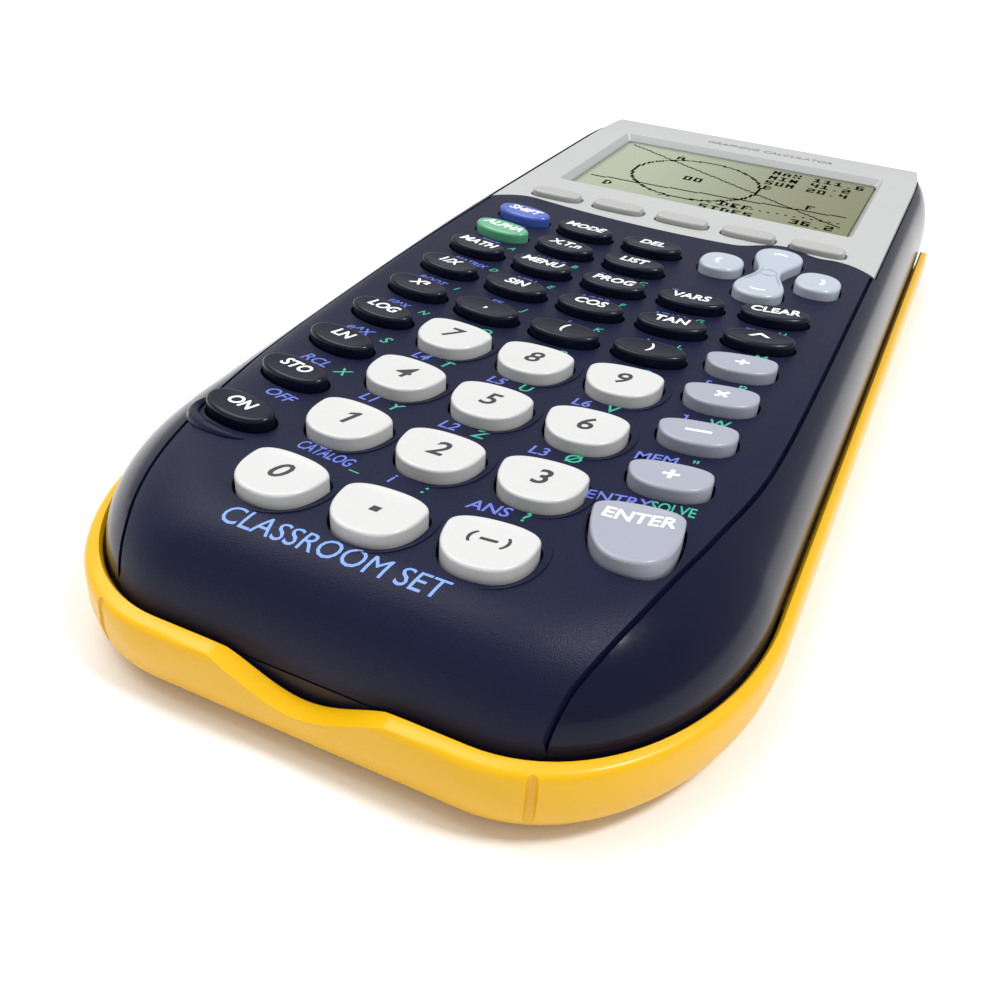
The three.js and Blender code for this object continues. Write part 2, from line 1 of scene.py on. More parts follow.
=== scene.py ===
"""Looks of a graphing calculator with its slide cover stored on the back.

Sizes are millimetres inside the classes and become metres when a mesh is made.
+Y points to the screen end and +Z out of the keys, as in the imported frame.
"""

import logging
import math
from abc import ABC, abstractmethod
from dataclasses import dataclass, field
from enum import Enum
from typing import Callable, Iterable, Optional, Sequence

import bmesh
import bpy
from mathutils import Matrix, Vector


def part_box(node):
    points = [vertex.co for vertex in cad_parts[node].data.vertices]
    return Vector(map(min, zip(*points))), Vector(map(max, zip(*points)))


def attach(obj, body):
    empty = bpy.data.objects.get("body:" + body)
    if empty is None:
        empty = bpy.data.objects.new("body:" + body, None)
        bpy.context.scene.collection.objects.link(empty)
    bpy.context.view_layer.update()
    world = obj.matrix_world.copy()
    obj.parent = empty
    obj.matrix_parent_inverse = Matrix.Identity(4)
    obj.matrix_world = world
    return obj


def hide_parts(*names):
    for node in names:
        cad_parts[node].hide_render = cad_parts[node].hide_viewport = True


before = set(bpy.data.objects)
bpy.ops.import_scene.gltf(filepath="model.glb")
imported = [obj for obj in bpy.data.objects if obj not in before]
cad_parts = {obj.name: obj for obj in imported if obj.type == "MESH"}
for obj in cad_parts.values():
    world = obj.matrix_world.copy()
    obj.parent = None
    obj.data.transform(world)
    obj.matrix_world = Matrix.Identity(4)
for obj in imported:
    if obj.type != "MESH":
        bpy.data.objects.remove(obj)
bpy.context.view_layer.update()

LOG = logging.getLogger("calculator")
MM = 0.001
BODY = "calculator_body"
COVER = "slide_cover"

Point = tuple[float, float]
Colour = tuple[float, float, float]
Outline = list[Point]
Levels = list[tuple[float, Outline]]


# ---------------------------------------------------------------- measures of the frame


def box_mm(node: str) -> tuple[Vector, Vector]:
    """Box of a CAD node.

    Args:
        node: Name of the node.

    Returns:
        Its lowest and highest corner, in millimetres.
    """
    low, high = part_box(node)
    return Vector(low) / MM, Vector(high) / MM


CASE_LOW, CASE_HIGH = box_mm("front_case")
HALF_WIDTH = CASE_HIGH.x
SEAM_Z = CASE_LOW.z
FACE_Z = CASE_HIGH.z
KEYPAD_Y = CASE_LOW.y + 93.3
"""Height along Y of the point that the keypad layout is measured from."""


# ---------------------------------------------------------------- meshes


class MeshBuilder:
    """Collects closed shapes in millimetres and turns them into one object."""

    def __init__(self) -> None:
        """Start with nothing."""
        self.vertices: list[tuple[float, float, float]] = []
        self.faces: list[list[int]] = []

    def add(self, vertices: Iterable[Sequence[float]], faces: Iterable[Sequence[int]]) -> None:
        """Add one shape.

        Args:
            vertices: Its corners.
            faces: Its faces, as indices into those corners.
        """
        start = len(self.vertices)
        self.vertices.extend(tuple(v) for v in vertices)
        self.faces.extend([start + i for i in face] for face in faces)

    def add_loft(self, levels: Levels) -> None:
        """Add a closed skin through level outlines of equal length.

        Args:
            levels: Height and counter-clockwise outline of each level, from the bottom up.
        """
        self.add_rings([[(x, y, z) for x, y in outline] for z, outline in levels])

    def add_rings(self, rings: Sequence[Sequence[Sequence[float]]]) -> None:
        """Add a closed skin through rings of equal length.

        Args:
            rings: Points of each ring, from one end of the shape to the other.
        """
        count = len(rings[0])
        vertices = [point for ring in rings for point in ring]
        faces = [list(reversed(range(count)))]
        for level in range(len(rings) - 1):
            base = level * count
            for i in range(count):
                j = (i + 1) % count
                faces.append([base + i, base + j, base + count + j, base + count + i])
        last = (len(rings) - 1) * count
        faces.append([last + i for i in range(count)])
        self.add(vertices, faces)

    def add_block(self, low: Sequence[float], high: Sequence[float]) -> None:
        """Add a block between two opposite corners.

        Args:
            low: Lowest corner.
            high: Highest corner.
        """
        (x0, y0, z0), (x1, y1, z1) = low, high
        outline = [(x0, y0), (x1, y0), (x1, y1), (x0, y1)]
        self.add_loft([(z0, outline), (z1, outline)])

    def add_prism(self, axis: str, profile: "Outline", start: float, end: float) -> None:
        """Add a prism that runs straight along X or Y.

        Args:
            axis: "X" for a profile along Y and Z, "Y" for a profile along X and Z.
            profile: The profile.
            start: Where it starts.
            end: Where it ends.
        """
        if axis == "X":
            self.add_rings([[(at, a, z) for a, z in profile] for at in (start, end)])
        else:
            self.add_rings([[(a, at, z) for a, z in profile] for at in (start, end)])

    def add_tube(self, path: Sequence[Vector], radius: float, sides: int = 8) -> None:
        """Add a round bead along a level path.

        Args:
            path: Points of its centreline.
            radius: Radius of the bead; it tapers to nothing at both ends.
            sides: Corners of its cross-section.
        """
        rings = []
        last = len(path) - 1
        for i, point in enumerate(path):
            ahead = (path[min(i + 1, last)] - path[max(i - 1, 0)]).normalized()
            across = Vector((-ahead.y, ahead.x, 0))
            size = radius * max(0.05, math.sin(math.pi * i / last)) ** 0.5
            rings.append([
                point + size * (math.cos(angle) * across + math.sin(angle) * Vector((0, 0, 1)))
                for angle in (2 * math.pi * k / sides for k in range(sides))
            ])
        self.add_rings(rings)

    def build(self, name: str, sharp_degrees: float = 40) -> bpy.types.Object:
        """Make the object.

        Args:
            name: Name of the object.
            sharp_degrees: Edges that turn by more than this stay sharp.

        Returns:
            The object, linked to the scene.
        """
        mesh = bpy.data.meshes.new(name)
        mesh.from_pydata([Vector(v) * MM for v in self.vertices], [], self.faces)
        obj = bpy.data.objects.new(name, mesh)
        bpy.context.scene.collection.objects.link(obj)
        finish_mesh(mesh, sharp_degrees)
        return obj


def finish_mesh(mesh: bpy.types.Mesh, sharp_degrees: float) -> None:
    """Weld a mesh, point its faces outwards and shade it smooth between sharp edges.

    Args:
        mesh: The mesh to finish.
        sharp_degrees: Edges that turn by more than this stay sharp.
    """
    work = bmesh.new()
    work.from_mesh(mesh)
    bmesh.ops.remove_doubles(work, verts=work.verts, dist=0.002 * MM)
    bmesh.ops.recalc_face_normals(work, faces=work.faces)
    work.to_mesh(mesh)
    work.free()
    mesh.polygons.foreach_set("use_smooth", [True] * len(mesh.polygons))
    mesh.set_sharp_from_angle(angle=math.radians(sharp_degrees))
    mesh.update()


def loft(name: str, levels: Levels, sharp_degrees: float = 40) -> bpy.types.Object:
    """Make an object from level outlines.

    Args:
        name: Name of the object.
        levels: Height and outline of each level, from the bottom up.
        sharp_degrees: Edges that turn by more than this stay sharp.

    Returns:
        The object.
    """
    builder = MeshBuilder()
    builder.add_loft(levels)
    return builder.build(name, sharp_degrees)


def carve(
    target: bpy.types.Object, cutters: Sequence[bpy.types.Object], sharp_degrees: float = 32,
) -> None:
    """Cut shapes out of an object for good and remove the cutters.

    Args:
        target: The object that is cut.
        cutters: Closed objects to take away, one after the other.
        sharp_degrees: Edges that turn by more than this stay sharp.
    """
    for cutter in cutters:
        modifier = target.modifiers.new("carve", "BOOLEAN")
        modifier.operation = "DIFFERENCE"
        modifier.solver = "MANIFOLD"
        modifier.object = cutter
    bpy.context.view_layer.update()
    evaluated = target.evaluated_get(bpy.context.evaluated_depsgraph_get())
    cut = bpy.data.meshes.new_from_object(evaluated)
    target.modifiers.clear()
    target.data = cut
    cut.name = target.name
    for cutter in cutters:
        bpy.data.objects.remove(cutter)
    finish_mesh(cut, sharp_degrees)


# ---------------------------------------------------------------- outlines, counter-clockwise


def arc(centre: Point, radii: Point, start: float, end: float, steps: int) -> Outline:
    """Stretch of an ellipse.

    Args:
        centre: Its centre.
        radii: Its radii along X and Y.
        start: First angle in degrees.
        end: Last angle in degrees.
        steps: Number of steps between them.

    Returns:
        The points, both ends included.
    """
    angles = (math.radians(start + (end - start) * i / steps) for i in range(steps + 1))
    return [
        (centre[0] + radii[0] * math.cos(a), centre[1] + radii[1] * math.sin(a)) for a in angles
    ]


def mirrored(points: Outline) -> Outline:
    """The same points on the other side, in counter-clockwise order again."""
    return [(-x, y) for x, y in reversed(points)]


@dataclass(frozen=True)
class BodyPlan:
    """Plan of the case or the cover: large elliptical corners below, tight ones above."""

    half_width: float
    bottom: float
    top: float
    lower_centre: Point = (18.5, KEYPAD_Y - 62.0)
    upper_centre: Point = (34.4, KEYPAD_Y + 74.0)
    corner_steps: int = 26

    def outline(self, side: float = 0, bottom: float = 0, top: float = 0) -> Outline:
        """Outline drawn in from the plan.

        Args:
            side: Inset of both sides.
            bottom: Inset of the key end.
            top: Inset of the screen end.

        Returns:
            The outline.
        """
        half_width = self.half_width - side
        lower_x, lower_y = self.lower_centre
        upper_x, upper_y = self.upper_centre
        low_radii = (half_width - lower_x, lower_y - self.bottom - bottom)
        high_radii = (half_width - upper_x, self.top - top - upper_y)
        rises = [lower_y + (upper_y - lower_y) * i / 14 for i in range(1, 14)]
        right = [
            *arc(self.lower_centre, low_radii, -90, 0, self.corner_steps),
            *((half_width, y) for y in rises),
            *arc(self.upper_centre, high_radii, 0, 90, 10),
        ]
        return right + mirrored(right)


# ---------------------------------------------------------------- shader node groups


Inputs = Sequence[tuple[str, str, Optional[float]]]


class Effect:
    """A shader effect kept once as a node group and placed in many materials."""

    def __init__(self, name: str, inputs: Inputs, outputs: Sequence[tuple[str, str]]) -> None:
        """Make the empty group.

        Args:
            name: Name of the group.
            inputs: Label, kind and default of each input.
            outputs: Label and kind of each output.
        """
        self.tree = bpy.data.node_groups.new(name, "ShaderNodeTree")
        for label, kind, default in inputs:
            socket = self.tree.interface.new_socket(name=label, in_out="INPUT", socket_type=kind)
            if default is not None:
                socket.default_value = default
        for label, kind in outputs:
            self.tree.interface.new_socket(name=label, in_out="OUTPUT", socket_type=kind)
        self.inputs = self.tree.nodes.new("NodeGroupInput")
        self.outputs = self.tree.nodes.new("NodeGroupOutput")

    def node(self, kind: str, **settings: object) -> bpy.types.Node:
        """Add a node to the group.

        Args:
            kind: Blender's name of the node type.
            **settings: Properties to set on it.

        Returns:
            The node.
        """
        return add_node(self.tree, kind, **settings)

    def link(self, source: bpy.types.NodeSocket, target: bpy.types.NodeSocket) -> None:
        """Join two sockets of the group."""
        self.tree.links.new(source, target)

    def math(self, operation: str, first: object, second: object = 0.0) -> bpy.types.NodeSocket:
        """Add a sum of two values.

        Args:
            operation: Blender's name of the operation.
            first: A socket or a number.
            second: A socket or a number.

        Returns:
            The socket that holds the result.
        """
        node = self.node("ShaderNodeMath", operation=operation)
        for slot, value in zip(node.inputs, (first, second)):
            if isinstance(value, bpy.types.NodeSocket):
                self.link(value, slot)
            else:
                slot.default_value = value
        return node.outputs[0]

    def noise(self, scale: object, detail: float = 2.0) -> bpy.types.NodeSocket:
        """Add a noise that reads the group's Vector input.

        Args:
            scale: A socket or a number.
            detail: Octaves of the noise.

        Returns:
            The socket that holds it, from 0 to 1.
        """
        node = self.node("ShaderNodeTexNoise")
        node.inputs["Detail"].default_value = detail
        self.link(self.inputs.outputs["Vector"], node.inputs["Vector"])
        if isinstance(scale, bpy.types.NodeSocket):
            self.link(scale, node.inputs["Scale"])
        else:
            node.inputs["Scale"].default_value = scale
        return node.outputs["Fac"]


def add_node(tree: bpy.types.NodeTree, kind: str, **settings: object) -> bpy.types.Node:
    """Add a node to a tree.

    Args:
        tree: The tree.
        kind: Blender's name of the node type.
        **settings: Properties to set on it.

    Returns:
        The node.
    """
    node = tree.nodes.new(kind)
    for key, value in settings.items():
        setattr(node, key, value)
    return node


VECTOR = ("Vector", "NodeSocketVector", None)


def colour_drift() -> bpy.types.NodeTree:
    """Group that lightens and darkens a colour slowly over the surface."""
    effect = Effect(
        "ColourDrift",
        [VECTOR, ("Color", "NodeSocketColor", None), ("Amount", "NodeSocketFloat", 0.05)],
        [("Color", "NodeSocketColor")],
    )
    slow = effect.math("SUBTRACT", effect.noise(35.0), 0.5)
    fine = effect.math("MULTIPLY", effect.math("SUBTRACT", effect.noise(900.0, 3.0), 0.5), 0.5)
    total = effect.math("ADD", slow, fine)
    spread = effect.math("MULTIPLY", total, effect.inputs.outputs["Amount"])
    shade = effect.node("ShaderNodeHueSaturation")
    effect.link(effect.math("ADD", spread, 1.0), shade.inputs["Value"])
    effect.link(effect.inputs.outputs["Color"], shade.inputs["Color"])
    effect.link(shade.outputs["Color"], effect.outputs.inputs["Color"])
    return effect.tree


def moulded_grain() -> bpy.types.NodeTree:
    """Group that gives the height of a fine leather-like mould texture, from 0 to 1."""
    effect = Effect(
        "MouldedGrain",
        [VECTOR, ("Scale", "NodeSocketFloat", 1500.0)],
        [("Height", "NodeSocketFloat")],
    )
    cells = effect.node("ShaderNodeTexVoronoi", feature="SMOOTH_F1")
    cells.inputs["Smoothness"].default_value = 0.35
    effect.link(effect.inputs.outputs["Vector"], cells.inputs["Vector"])
    effect.link(effect.inputs.outputs["Scale"], cells.inputs["Scale"])
    pores = effect.noise(effect.math("MULTIPLY", effect.inputs.outputs["Scale"], 1.7), 3.0)
    height = effect.math(
        "ADD",
        effect.math("MULTIPLY", cells.outputs["Distance"], 0.75),
        effect.math("MULTIPLY", pores, 0.35),
    )
    effect.link(height, effect.outputs.inputs["Height"])
    return effect.tree


def handling_wear() -> bpy.types.NodeTree:
    """Group that varies a roughness with smudges and fine rubbing."""
    effect = Effect(
        "HandlingWear",
        [VECTOR, ("Roughness", "NodeSocketFloat", 0.4), ("Amount", "NodeSocketFloat", 0.1)],
        [("Roughness", "NodeSocketFloat")],
    )
    smudge = effect.math("SUBTRACT", effect.noise(70.0, 4.0), 0.5)
    rub = effect.math("SUBTRACT", effect.noise(1200.0, 2.0), 0.5)
    total = effect.math("ADD", smudge, effect.math("MULTIPLY", rub, 0.6))
    varied = effect.math("MULTIPLY", total, effect.inputs.outputs["Amount"])
    result = effect.math("ADD", varied, effect.inputs.outputs["Roughness"])
    effect.link(effect.math("MAXIMUM", result, 0.03), effect.outputs.inputs["Roughness"])
    return effect.tree


@dataclass(frozen=True)
class GrooveLine:
    """Line on each side of the face that parts the grained field from the smooth cheeks."""

    points: tuple[Point, ...] = (
        (25.2, -91.6), (25.7, -90), (26.2, -88.3), (27.2, -85.5), (28.6, -80.6), (29.9, -75),
        (32.4, -62.5), (34.6, -47), (35.3, -20), (35.5, 17), (35.6, 21),
    )

    def smooth(self, steps: int = 10) -> Outline:
        """The line as a smooth curve.

        Args:
            steps: Steps between two given points.

        Returns:
            Points along it on the right side, from the key end up.
        """
        known = [(x, KEYPAD_Y + y) for x, y in self.points]
        padded = [known[0], *known, known[-1]]
        line = []
        for i in range(len(known) - 1):
            a, b, c, d = padded[i:i + 4]
            for k in range(steps):
                t = k / steps
                line.append(tuple(
                    0.5 * (2 * q + (r - p) * t + (2 * p - 5 * q + 4 * r - s) * t * t
                           + (3 * q - p - 3 * r + s) * t ** 3)
                    for p, q, r, s in zip(a, b, c, d)
                ))
        return [*line, known[-1]]


GROOVE = GrooveLine()


def keypad_field() -> bpy.types.NodeTree:
    """Group that gives 1 inside the grooves of the face and 0 on the cheeks."""
    effect = Effect("KeypadField", [VECTOR], [("Mask", "NodeSocketFloat")])
    parts = effect.node("ShaderNodeSeparateXYZ")
    effect.link(effect.inputs.outputs["Vector"], parts.inputs[0])
    line = GROOVE.smooth(1)
    low, high = line[0][1] - 12, line[-1][1]
    along = effect.node("ShaderNodeMapRange")
    along.inputs["From Min"].default_value = low * MM
    along.inputs["From Max"].default_value = high * MM
    effect.link(parts.outputs["Y"], along.inputs["Value"])
    ramp = effect.node("ShaderNodeValToRGB")
    elements = ramp.color_ramp.elements
    for i, (x, y) in enumerate([(line[0][0] - 1.6, low), *line]):
        element = elements[i] if i < 2 else elements.new(1.0)
        element.position = (y - low) / (high - low)
        element.color = (x / 50, x / 50, x / 50, 1)
    effect.link(along.outputs["Result"], ramp.inputs["Fac"])
    reach = effect.math("MULTIPLY", ramp.outputs["Color"], 50 * MM)
    inside = effect.math("SUBTRACT", reach, effect.math("ABSOLUTE", parts.outputs["X"]))
    mask = effect.node("ShaderNodeMapRange")
    mask.inputs["From Min"].default_value = -0.2 * MM
    mask.inputs["From Max"].default_value = 0.2 * MM
    effect.link(inside, mask.inputs["Value"])
    effect.link(mask.outputs["Result"], effect.outputs.inputs["Mask"])
    return effect.tree


class Effects:
    """The shader groups, each built once."""

    def __init__(self) -> None:
        """Build every group."""
        self.drift = colour_drift()
        self.grain = moulded_grain()
        self.wear = handling_wear()
        self.field = keypad_field()


# ---------------------------------------------------------------- finishes


@dataclass(frozen=True)
class Finish(ABC):
    """How a surface looks, in one material."""

    name: str
    colour: Colour

    def material(self, effects: Effects) -> bpy.types.Material:
        """Make the material.

        Args:
            effects: The shared shader groups.

        Returns:
            The material.
        """
        made = bpy.data.materials.new(self.name)
        made.use_nodes = True
        made.diffuse_color = (*self.colour, 1)
        tree = made.node_tree
        shader = tree.nodes["Principled BSDF"]
        place = add_node(tree, "ShaderNodeTexCoord").outputs["Object"]
        self.wire(tree, shader, place, effects)
        return made

    @abstractmethod
    def wire(
        self, tree: bpy.types.NodeTree, shader: bpy.types.Node,
        place: bpy.types.NodeSocket, effects: Effects,
    ) -> None:
        """Join the nodes of the material.

        Args:
            tree: Its node tree.
            shader: Its Principled shader.
            place: The socket that gives the point on the object.
            effects: The shared shader groups.
        """


def place_group(
    tree: bpy.types.NodeTree, group: bpy.types.NodeTree,
    place: bpy.types.NodeSocket, **values: object,
) -> bpy.types.Node:
    """Put a shader group into a material.

    Args:
        tree: The material's node tree.
        group: The group.
        place: The socket for the group's Vector input.
        **values: A number, colour or socket for each other input.

    Returns:
        The group node.
    """
    node = add_node(tree, "ShaderNodeGroup", node_tree=group)
    tree.links.new(place, node.inputs["Vector"])
    for label, value in values.items():
        if isinstance(value, bpy.types.NodeSocket):
            tree.links.new(value, node.inputs[label])
        else:
            node.inputs[label].default_value = value
    return node


@dataclass(frozen=True)
class Moulded(Finish):
    """Moulded plastic, rubber or plain metal with drift, grain and handling wear."""

    roughness: float = 0.4
    drift: float = 0.08
    wear: float = 0.12
    grain_scale: float = 2200.0
    grain_depth: float = 0.006
    coat: float = 0.0
    coat_roughness: float = 0.12
    metallic: float = 0.0
    specular: float = 0.5

    def wire(
        self, tree: bpy.types.NodeTree, shader: bpy.types.Node,
        place: bpy.types.NodeSocket, effects: Effects,
    ) -> None:
        """Join colour, roughness and grain to the shader."""
        drift = place_group(tree, effects.drift, place, Color=(*self.colour, 1), Amount=self.drift)
        tree.links.new(drift.outputs["Color"], shader.inputs["Base Color"])
        wear = place_group(tree, effects.wear, place, Roughness=self.roughness, Amount=self.wear)
        tree.links.new(wear.outputs["Roughness"], shader.inputs["Roughness"])
        grain = place_group(tree, effects.grain, place, Scale=self.grain_scale)
        bump = add_node(tree, "ShaderNodeBump")
        bump.inputs["Distance"].default_value = self.grain_depth * MM
        tree.links.new(grain.outputs["Height"], bump.inputs["Height"])
        tree.links.new(bump.outputs["Normal"], shader.inputs["Normal"])
        shader.inputs["Coat Weight"].default_value = self.coat
        shader.inputs["Coat Roughness"].default_value = self.coat_roughness
        shader.inputs["Metallic"].default_value = self.metallic
        shader.inputs["Specular IOR Level"].default_value = self.specular


@dataclass(frozen=True)
class GrainedCase(Finish):
    """Case plastic: leather-like grain on the keypad field, smooth satin on the cheeks."""

    cheek_colour: Colour = (0.004, 0.005, 0.020)
    field_roughness: float = 0.42
    cheek_roughness: float = 0.18
    grain_scale: float = 6000.0
    field_depth: float = 0.03
    specular: float = 0.17

    def wire(
        self, tree: bpy.types.NodeTree, shader: bpy.types.Node,
        place: bpy.types.NodeSocket, effects: Effects,
    ) -> None:
        """Join the two regions to the shader."""
        mask = place_group(tree, effects.field, place).outputs["Mask"]
        colour = add_node(tree, "ShaderNodeMix", data_type="RGBA")
        for socket, value in zip(
            [s for s in colour.inputs if s.type == "RGBA"], (self.cheek_colour, self.colour)
        ):
            socket.default_value = (*value, 1)
        tree.links.new(mask, colour.inputs[0])
        mixed = next(s for s in colour.outputs if s.type == "RGBA")
        drift = place_group(tree, effects.drift, place, Color=mixed, Amount=0.12)
        tree.links.new(drift.outputs["Color"], shader.inputs["Base Color"])
        rough = add_node(tree, "ShaderNodeMapRange")
        rough.inputs["To Min"].default_value = self.cheek_roughness
        rough.inputs["To Max"].default_value = self.field_roughness
        tree.links.new(mask, rough.inputs["Value"])
        wear = place_group(
            tree, effects.wear, place, Roughness=rough.outputs["Result"], Amount=0.12
        )
        tree.links.new(wear.outputs["Roughness"], shader.inputs["Roughness"])
        grain = place_group(tree, effects.grain, place, Scale=self.grain_scale)
        height = add_node(tree, "ShaderNodeMath", operation="MULTIPLY")
        tree.links.new(grain.outputs["Height"], height.inputs[0])
        tree.links.new(mask, height.inputs[1])
        bump = add_node(tree, "ShaderNodeBump")
        bump.inputs["Distance"].default_value = self.field_depth * MM
        tree.links.new(height.outputs[0], bump.inputs["Height"])
        tree.links.new(bump.outputs["Normal"], shader.inputs["Normal"])
        shader.inputs["Specular IOR Level"].default_value = self.specular


@dataclass(frozen=True)
class Display(Finish):
    """Reflective liquid crystal: pale on the left, olive on the right, with painted shadow of the bezel
    along its top and left edges.
    """

    right_colour: Colour = (0.14, 0.145, 0.06)
    # Colour of the painted shadow that the bezel casts along the top and left edges of the window.
    bezel_shadow_colour: Colour = (0.07, 0.09, 0.07)
    left: float = -28.2
    right: float = 28.2
    top: float = 80.0
    shade_width: float = 4.0

    def wire(
        self, tree: bpy.types.NodeTree, shader: bpy.types.Node,
        place: bpy.types.NodeSocket, effects: Effects,
    ) -> None:
        """Join the gradient and the painted bezel shadow along the top and left edges to the shader."""
        parts = add_node(tree, "ShaderNodeSeparateXYZ")
        tree.links.new(place, parts.inputs[0])

        def ramp(
            axis: str, start: float, end: float, first: Colour, last: Colour,
        ) -> bpy.types.Node:
            """Colour ramp along one axis, between two places in millimetres."""
            along = add_node(tree, "ShaderNodeMapRange")
            along.inputs["From Min"].default_value = start * MM
            along.inputs["From Max"].default_value = end * MM
            tree.links.new(parts.outputs[axis], along.inputs["Value"])
            node = add_node(tree, "ShaderNodeValToRGB")
            node.color_ramp.interpolation = "EASE"
            node.color_ramp.elements[0].color = (*first, 1)
            node.color_ramp.elements[1].color = (*last, 1)
            tree.links.new(along.outputs["Result"], node.inputs["Fac"])
            return node

        def multiply(
            first: bpy.types.NodeSocket, second: bpy.types.NodeSocket,
        ) -> bpy.types.NodeSocket:
            """Product of two colours."""
            node = add_node(tree, "ShaderNodeMix", data_type="RGBA", blend_type="MULTIPLY")
            node.inputs[0].default_value = 1.0
            colours = [s for s in node.inputs if s.type == "RGBA"]
            tree.links.new(first, colours[0])
            tree.links.new(second, colours[1])
            return next(s for s in node.outputs if s.type == "RGBA")

        glow = ramp("X", self.left, self.right, self.colour, self.right_colour)
        white = (1.0, 1.0, 1.0)
        # Painted shadow of the bezel: darker towards the top edge and the left edge of the window.
        top = ramp("Y", self.top - self.shade_width, self.top, white, self.bezel_shadow_colour)
        side = ramp("X", self.left, self.left + 0.6 * self.shade_width, self.bezel_shadow_colour, white)
        below = multiply(glow.outputs["Color"], top.outputs["Color"])
        shaded = multiply(below, side.outputs["Color"])
        drift = place_group(tree, effects.drift, place, Color=shaded, Amount=0.06)
        tree.links.new(drift.outputs["Color"], shader.inputs["Base Color"])
        wear = place_group(tree, effects.wear, place, Roughness=0.3, Amount=0.1)
        tree.links.new(wear.outputs["Roughness"], shader.inputs["Roughness"])
        shader.inputs["Coat Weight"].default_value = 0.25
        shader.inputs["Coat Roughness"].default_value = 0.06


class Palette:
    """Every material of the calculator."""

    def __init__(self, effects: Effects) -> None:
        """Make the materials.

        Args:
            effects: The shared shader groups.
        """
        def made(finish: Finish) -> bpy.types.Material:
            """The material of a finish."""
            return finish.material(effects)

        lens_low, lens_high = box_mm("screen_lens")
        self.case = made(GrainedCase("navy_case", (0.005, 0.007, 0.027)))
        self.rear = made(Moulded("navy_rear", (0.010, 0.012, 0.032), roughness=0.42,
                                 grain_depth=0.02, grain_scale=4000, specular=0.35))
        self.silver = made(Moulded("silver_frame", (0.42, 0.43, 0.425), roughness=0.42, coat=0.08))
        self.function = made(Moulded("silver_key", (0.37, 0.37, 0.36), roughness=0.4, coat=0.1))
        self.yellow = made(Moulded("yellow_cover", (0.78, 0.43, 0.001), roughness=0.34, coat=0.08,
                                   drift=0.05, grain_depth=0.003, specular=0.35))
        # The display material carries painted shadow of the bezel along its top and left edges.
        self.display = made(Display("display_glass", (0.32, 0.36, 0.25),
                                    left=lens_low.x + 1.0, right=lens_high.x - 1.0,
                                    top=lens_high.y - 1.0))
        self.dots = made(Moulded("display_dots", (0.003, 0.004, 0.003), roughness=0.6,
                                 specular=0.0))
        self.black = made(Moulded("black_key", (0.003, 0.004, 0.014), roughness=0.3, coat=0.12,
                                  grain_depth=0.001, specular=0.2))
        self.white = made(Moulded("white_key", (0.56, 0.56, 0.555), roughness=0.36, coat=0.12,
                                  drift=0.03))
        self.lavender = made(Moulded("lavender_key", (0.31, 0.32, 0.385), roughness=0.36, coat=0.12,
                                     drift=0.03))
        self.arrow = made(Moulded("arrow_key", (0.40, 0.45, 0.52), roughness=0.28, coat=0.2,
                                  drift=0.03, grain_depth=0.001))
        self.blue = made(Moulded("blue_key", (0.05, 0.10, 0.44), roughness=0.28, coat=0.3))
        self.green = made(Moulded("green_key", (0.10, 0.38, 0.20), roughness=0.28, coat=0.3))
        self.white_ink = made(Moulded("white_ink", (0.85, 0.86, 0.90), roughness=0.5))
        self.dark_ink = made(Moulded("dark_ink", (0.025, 0.027, 0.032), roughness=0.5))
        self.grey_ink = made(Moulded("grey_ink", (0.16, 0.16, 0.17), roughness=0.5))
        self.blue_ink = made(Moulded("blue_ink", (0.10, 0.15, 0.55), roughness=0.5))
        self.pale_blue_ink = made(Moulded("pale_blue_ink", (0.17, 0.31, 0.78), roughness=0.5))
        self.green_ink = made(Moulded("green_ink", (0.03, 0.36, 0.23), roughness=0.5))
        self.rubber = made(Moulded("grey_rubber", (0.25, 0.26, 0.28), roughness=0.7,
                                   grain_depth=0.02))
        self.board = made(Moulded("board_green", (0.02, 0.13, 0.05), roughness=0.45, drift=0.2))
        self.steel = made(Moulded("bare_steel", (0.55, 0.56, 0.58), roughness=0.28, metallic=1.0))
        self.screw = made(Moulded("dark_screw", (0.10, 0.10, 0.11), roughness=0.35, metallic=1.0))


def dress(obj: bpy.types.Object, material: bpy.types.Material) -> None:
    """Give an object one material.

    Args:
        obj: The object.
        material: Its material.
    """
    obj.data.materials.clear()
    obj.data.materials.append(material)
    for polygon in obj.data.polygons:
        polygon.material_index = 0


def dress_node(node: str, material: bpy.types.Material) -> None:
    """Give a CAD node one material through its object's slots.

    Args:
        node: Name of the node.
        material: Its material.
    """
    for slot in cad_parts[node].material_slots:
        slot.link = "OBJECT"
        slot.material = material


# ---------------------------------------------------------------- lettering


class Weight(Enum):
    """How thick letters are, as a share of their height."""

    PLAIN = 0.0
    BOLD = 0.018
    HEAVY = 0.034


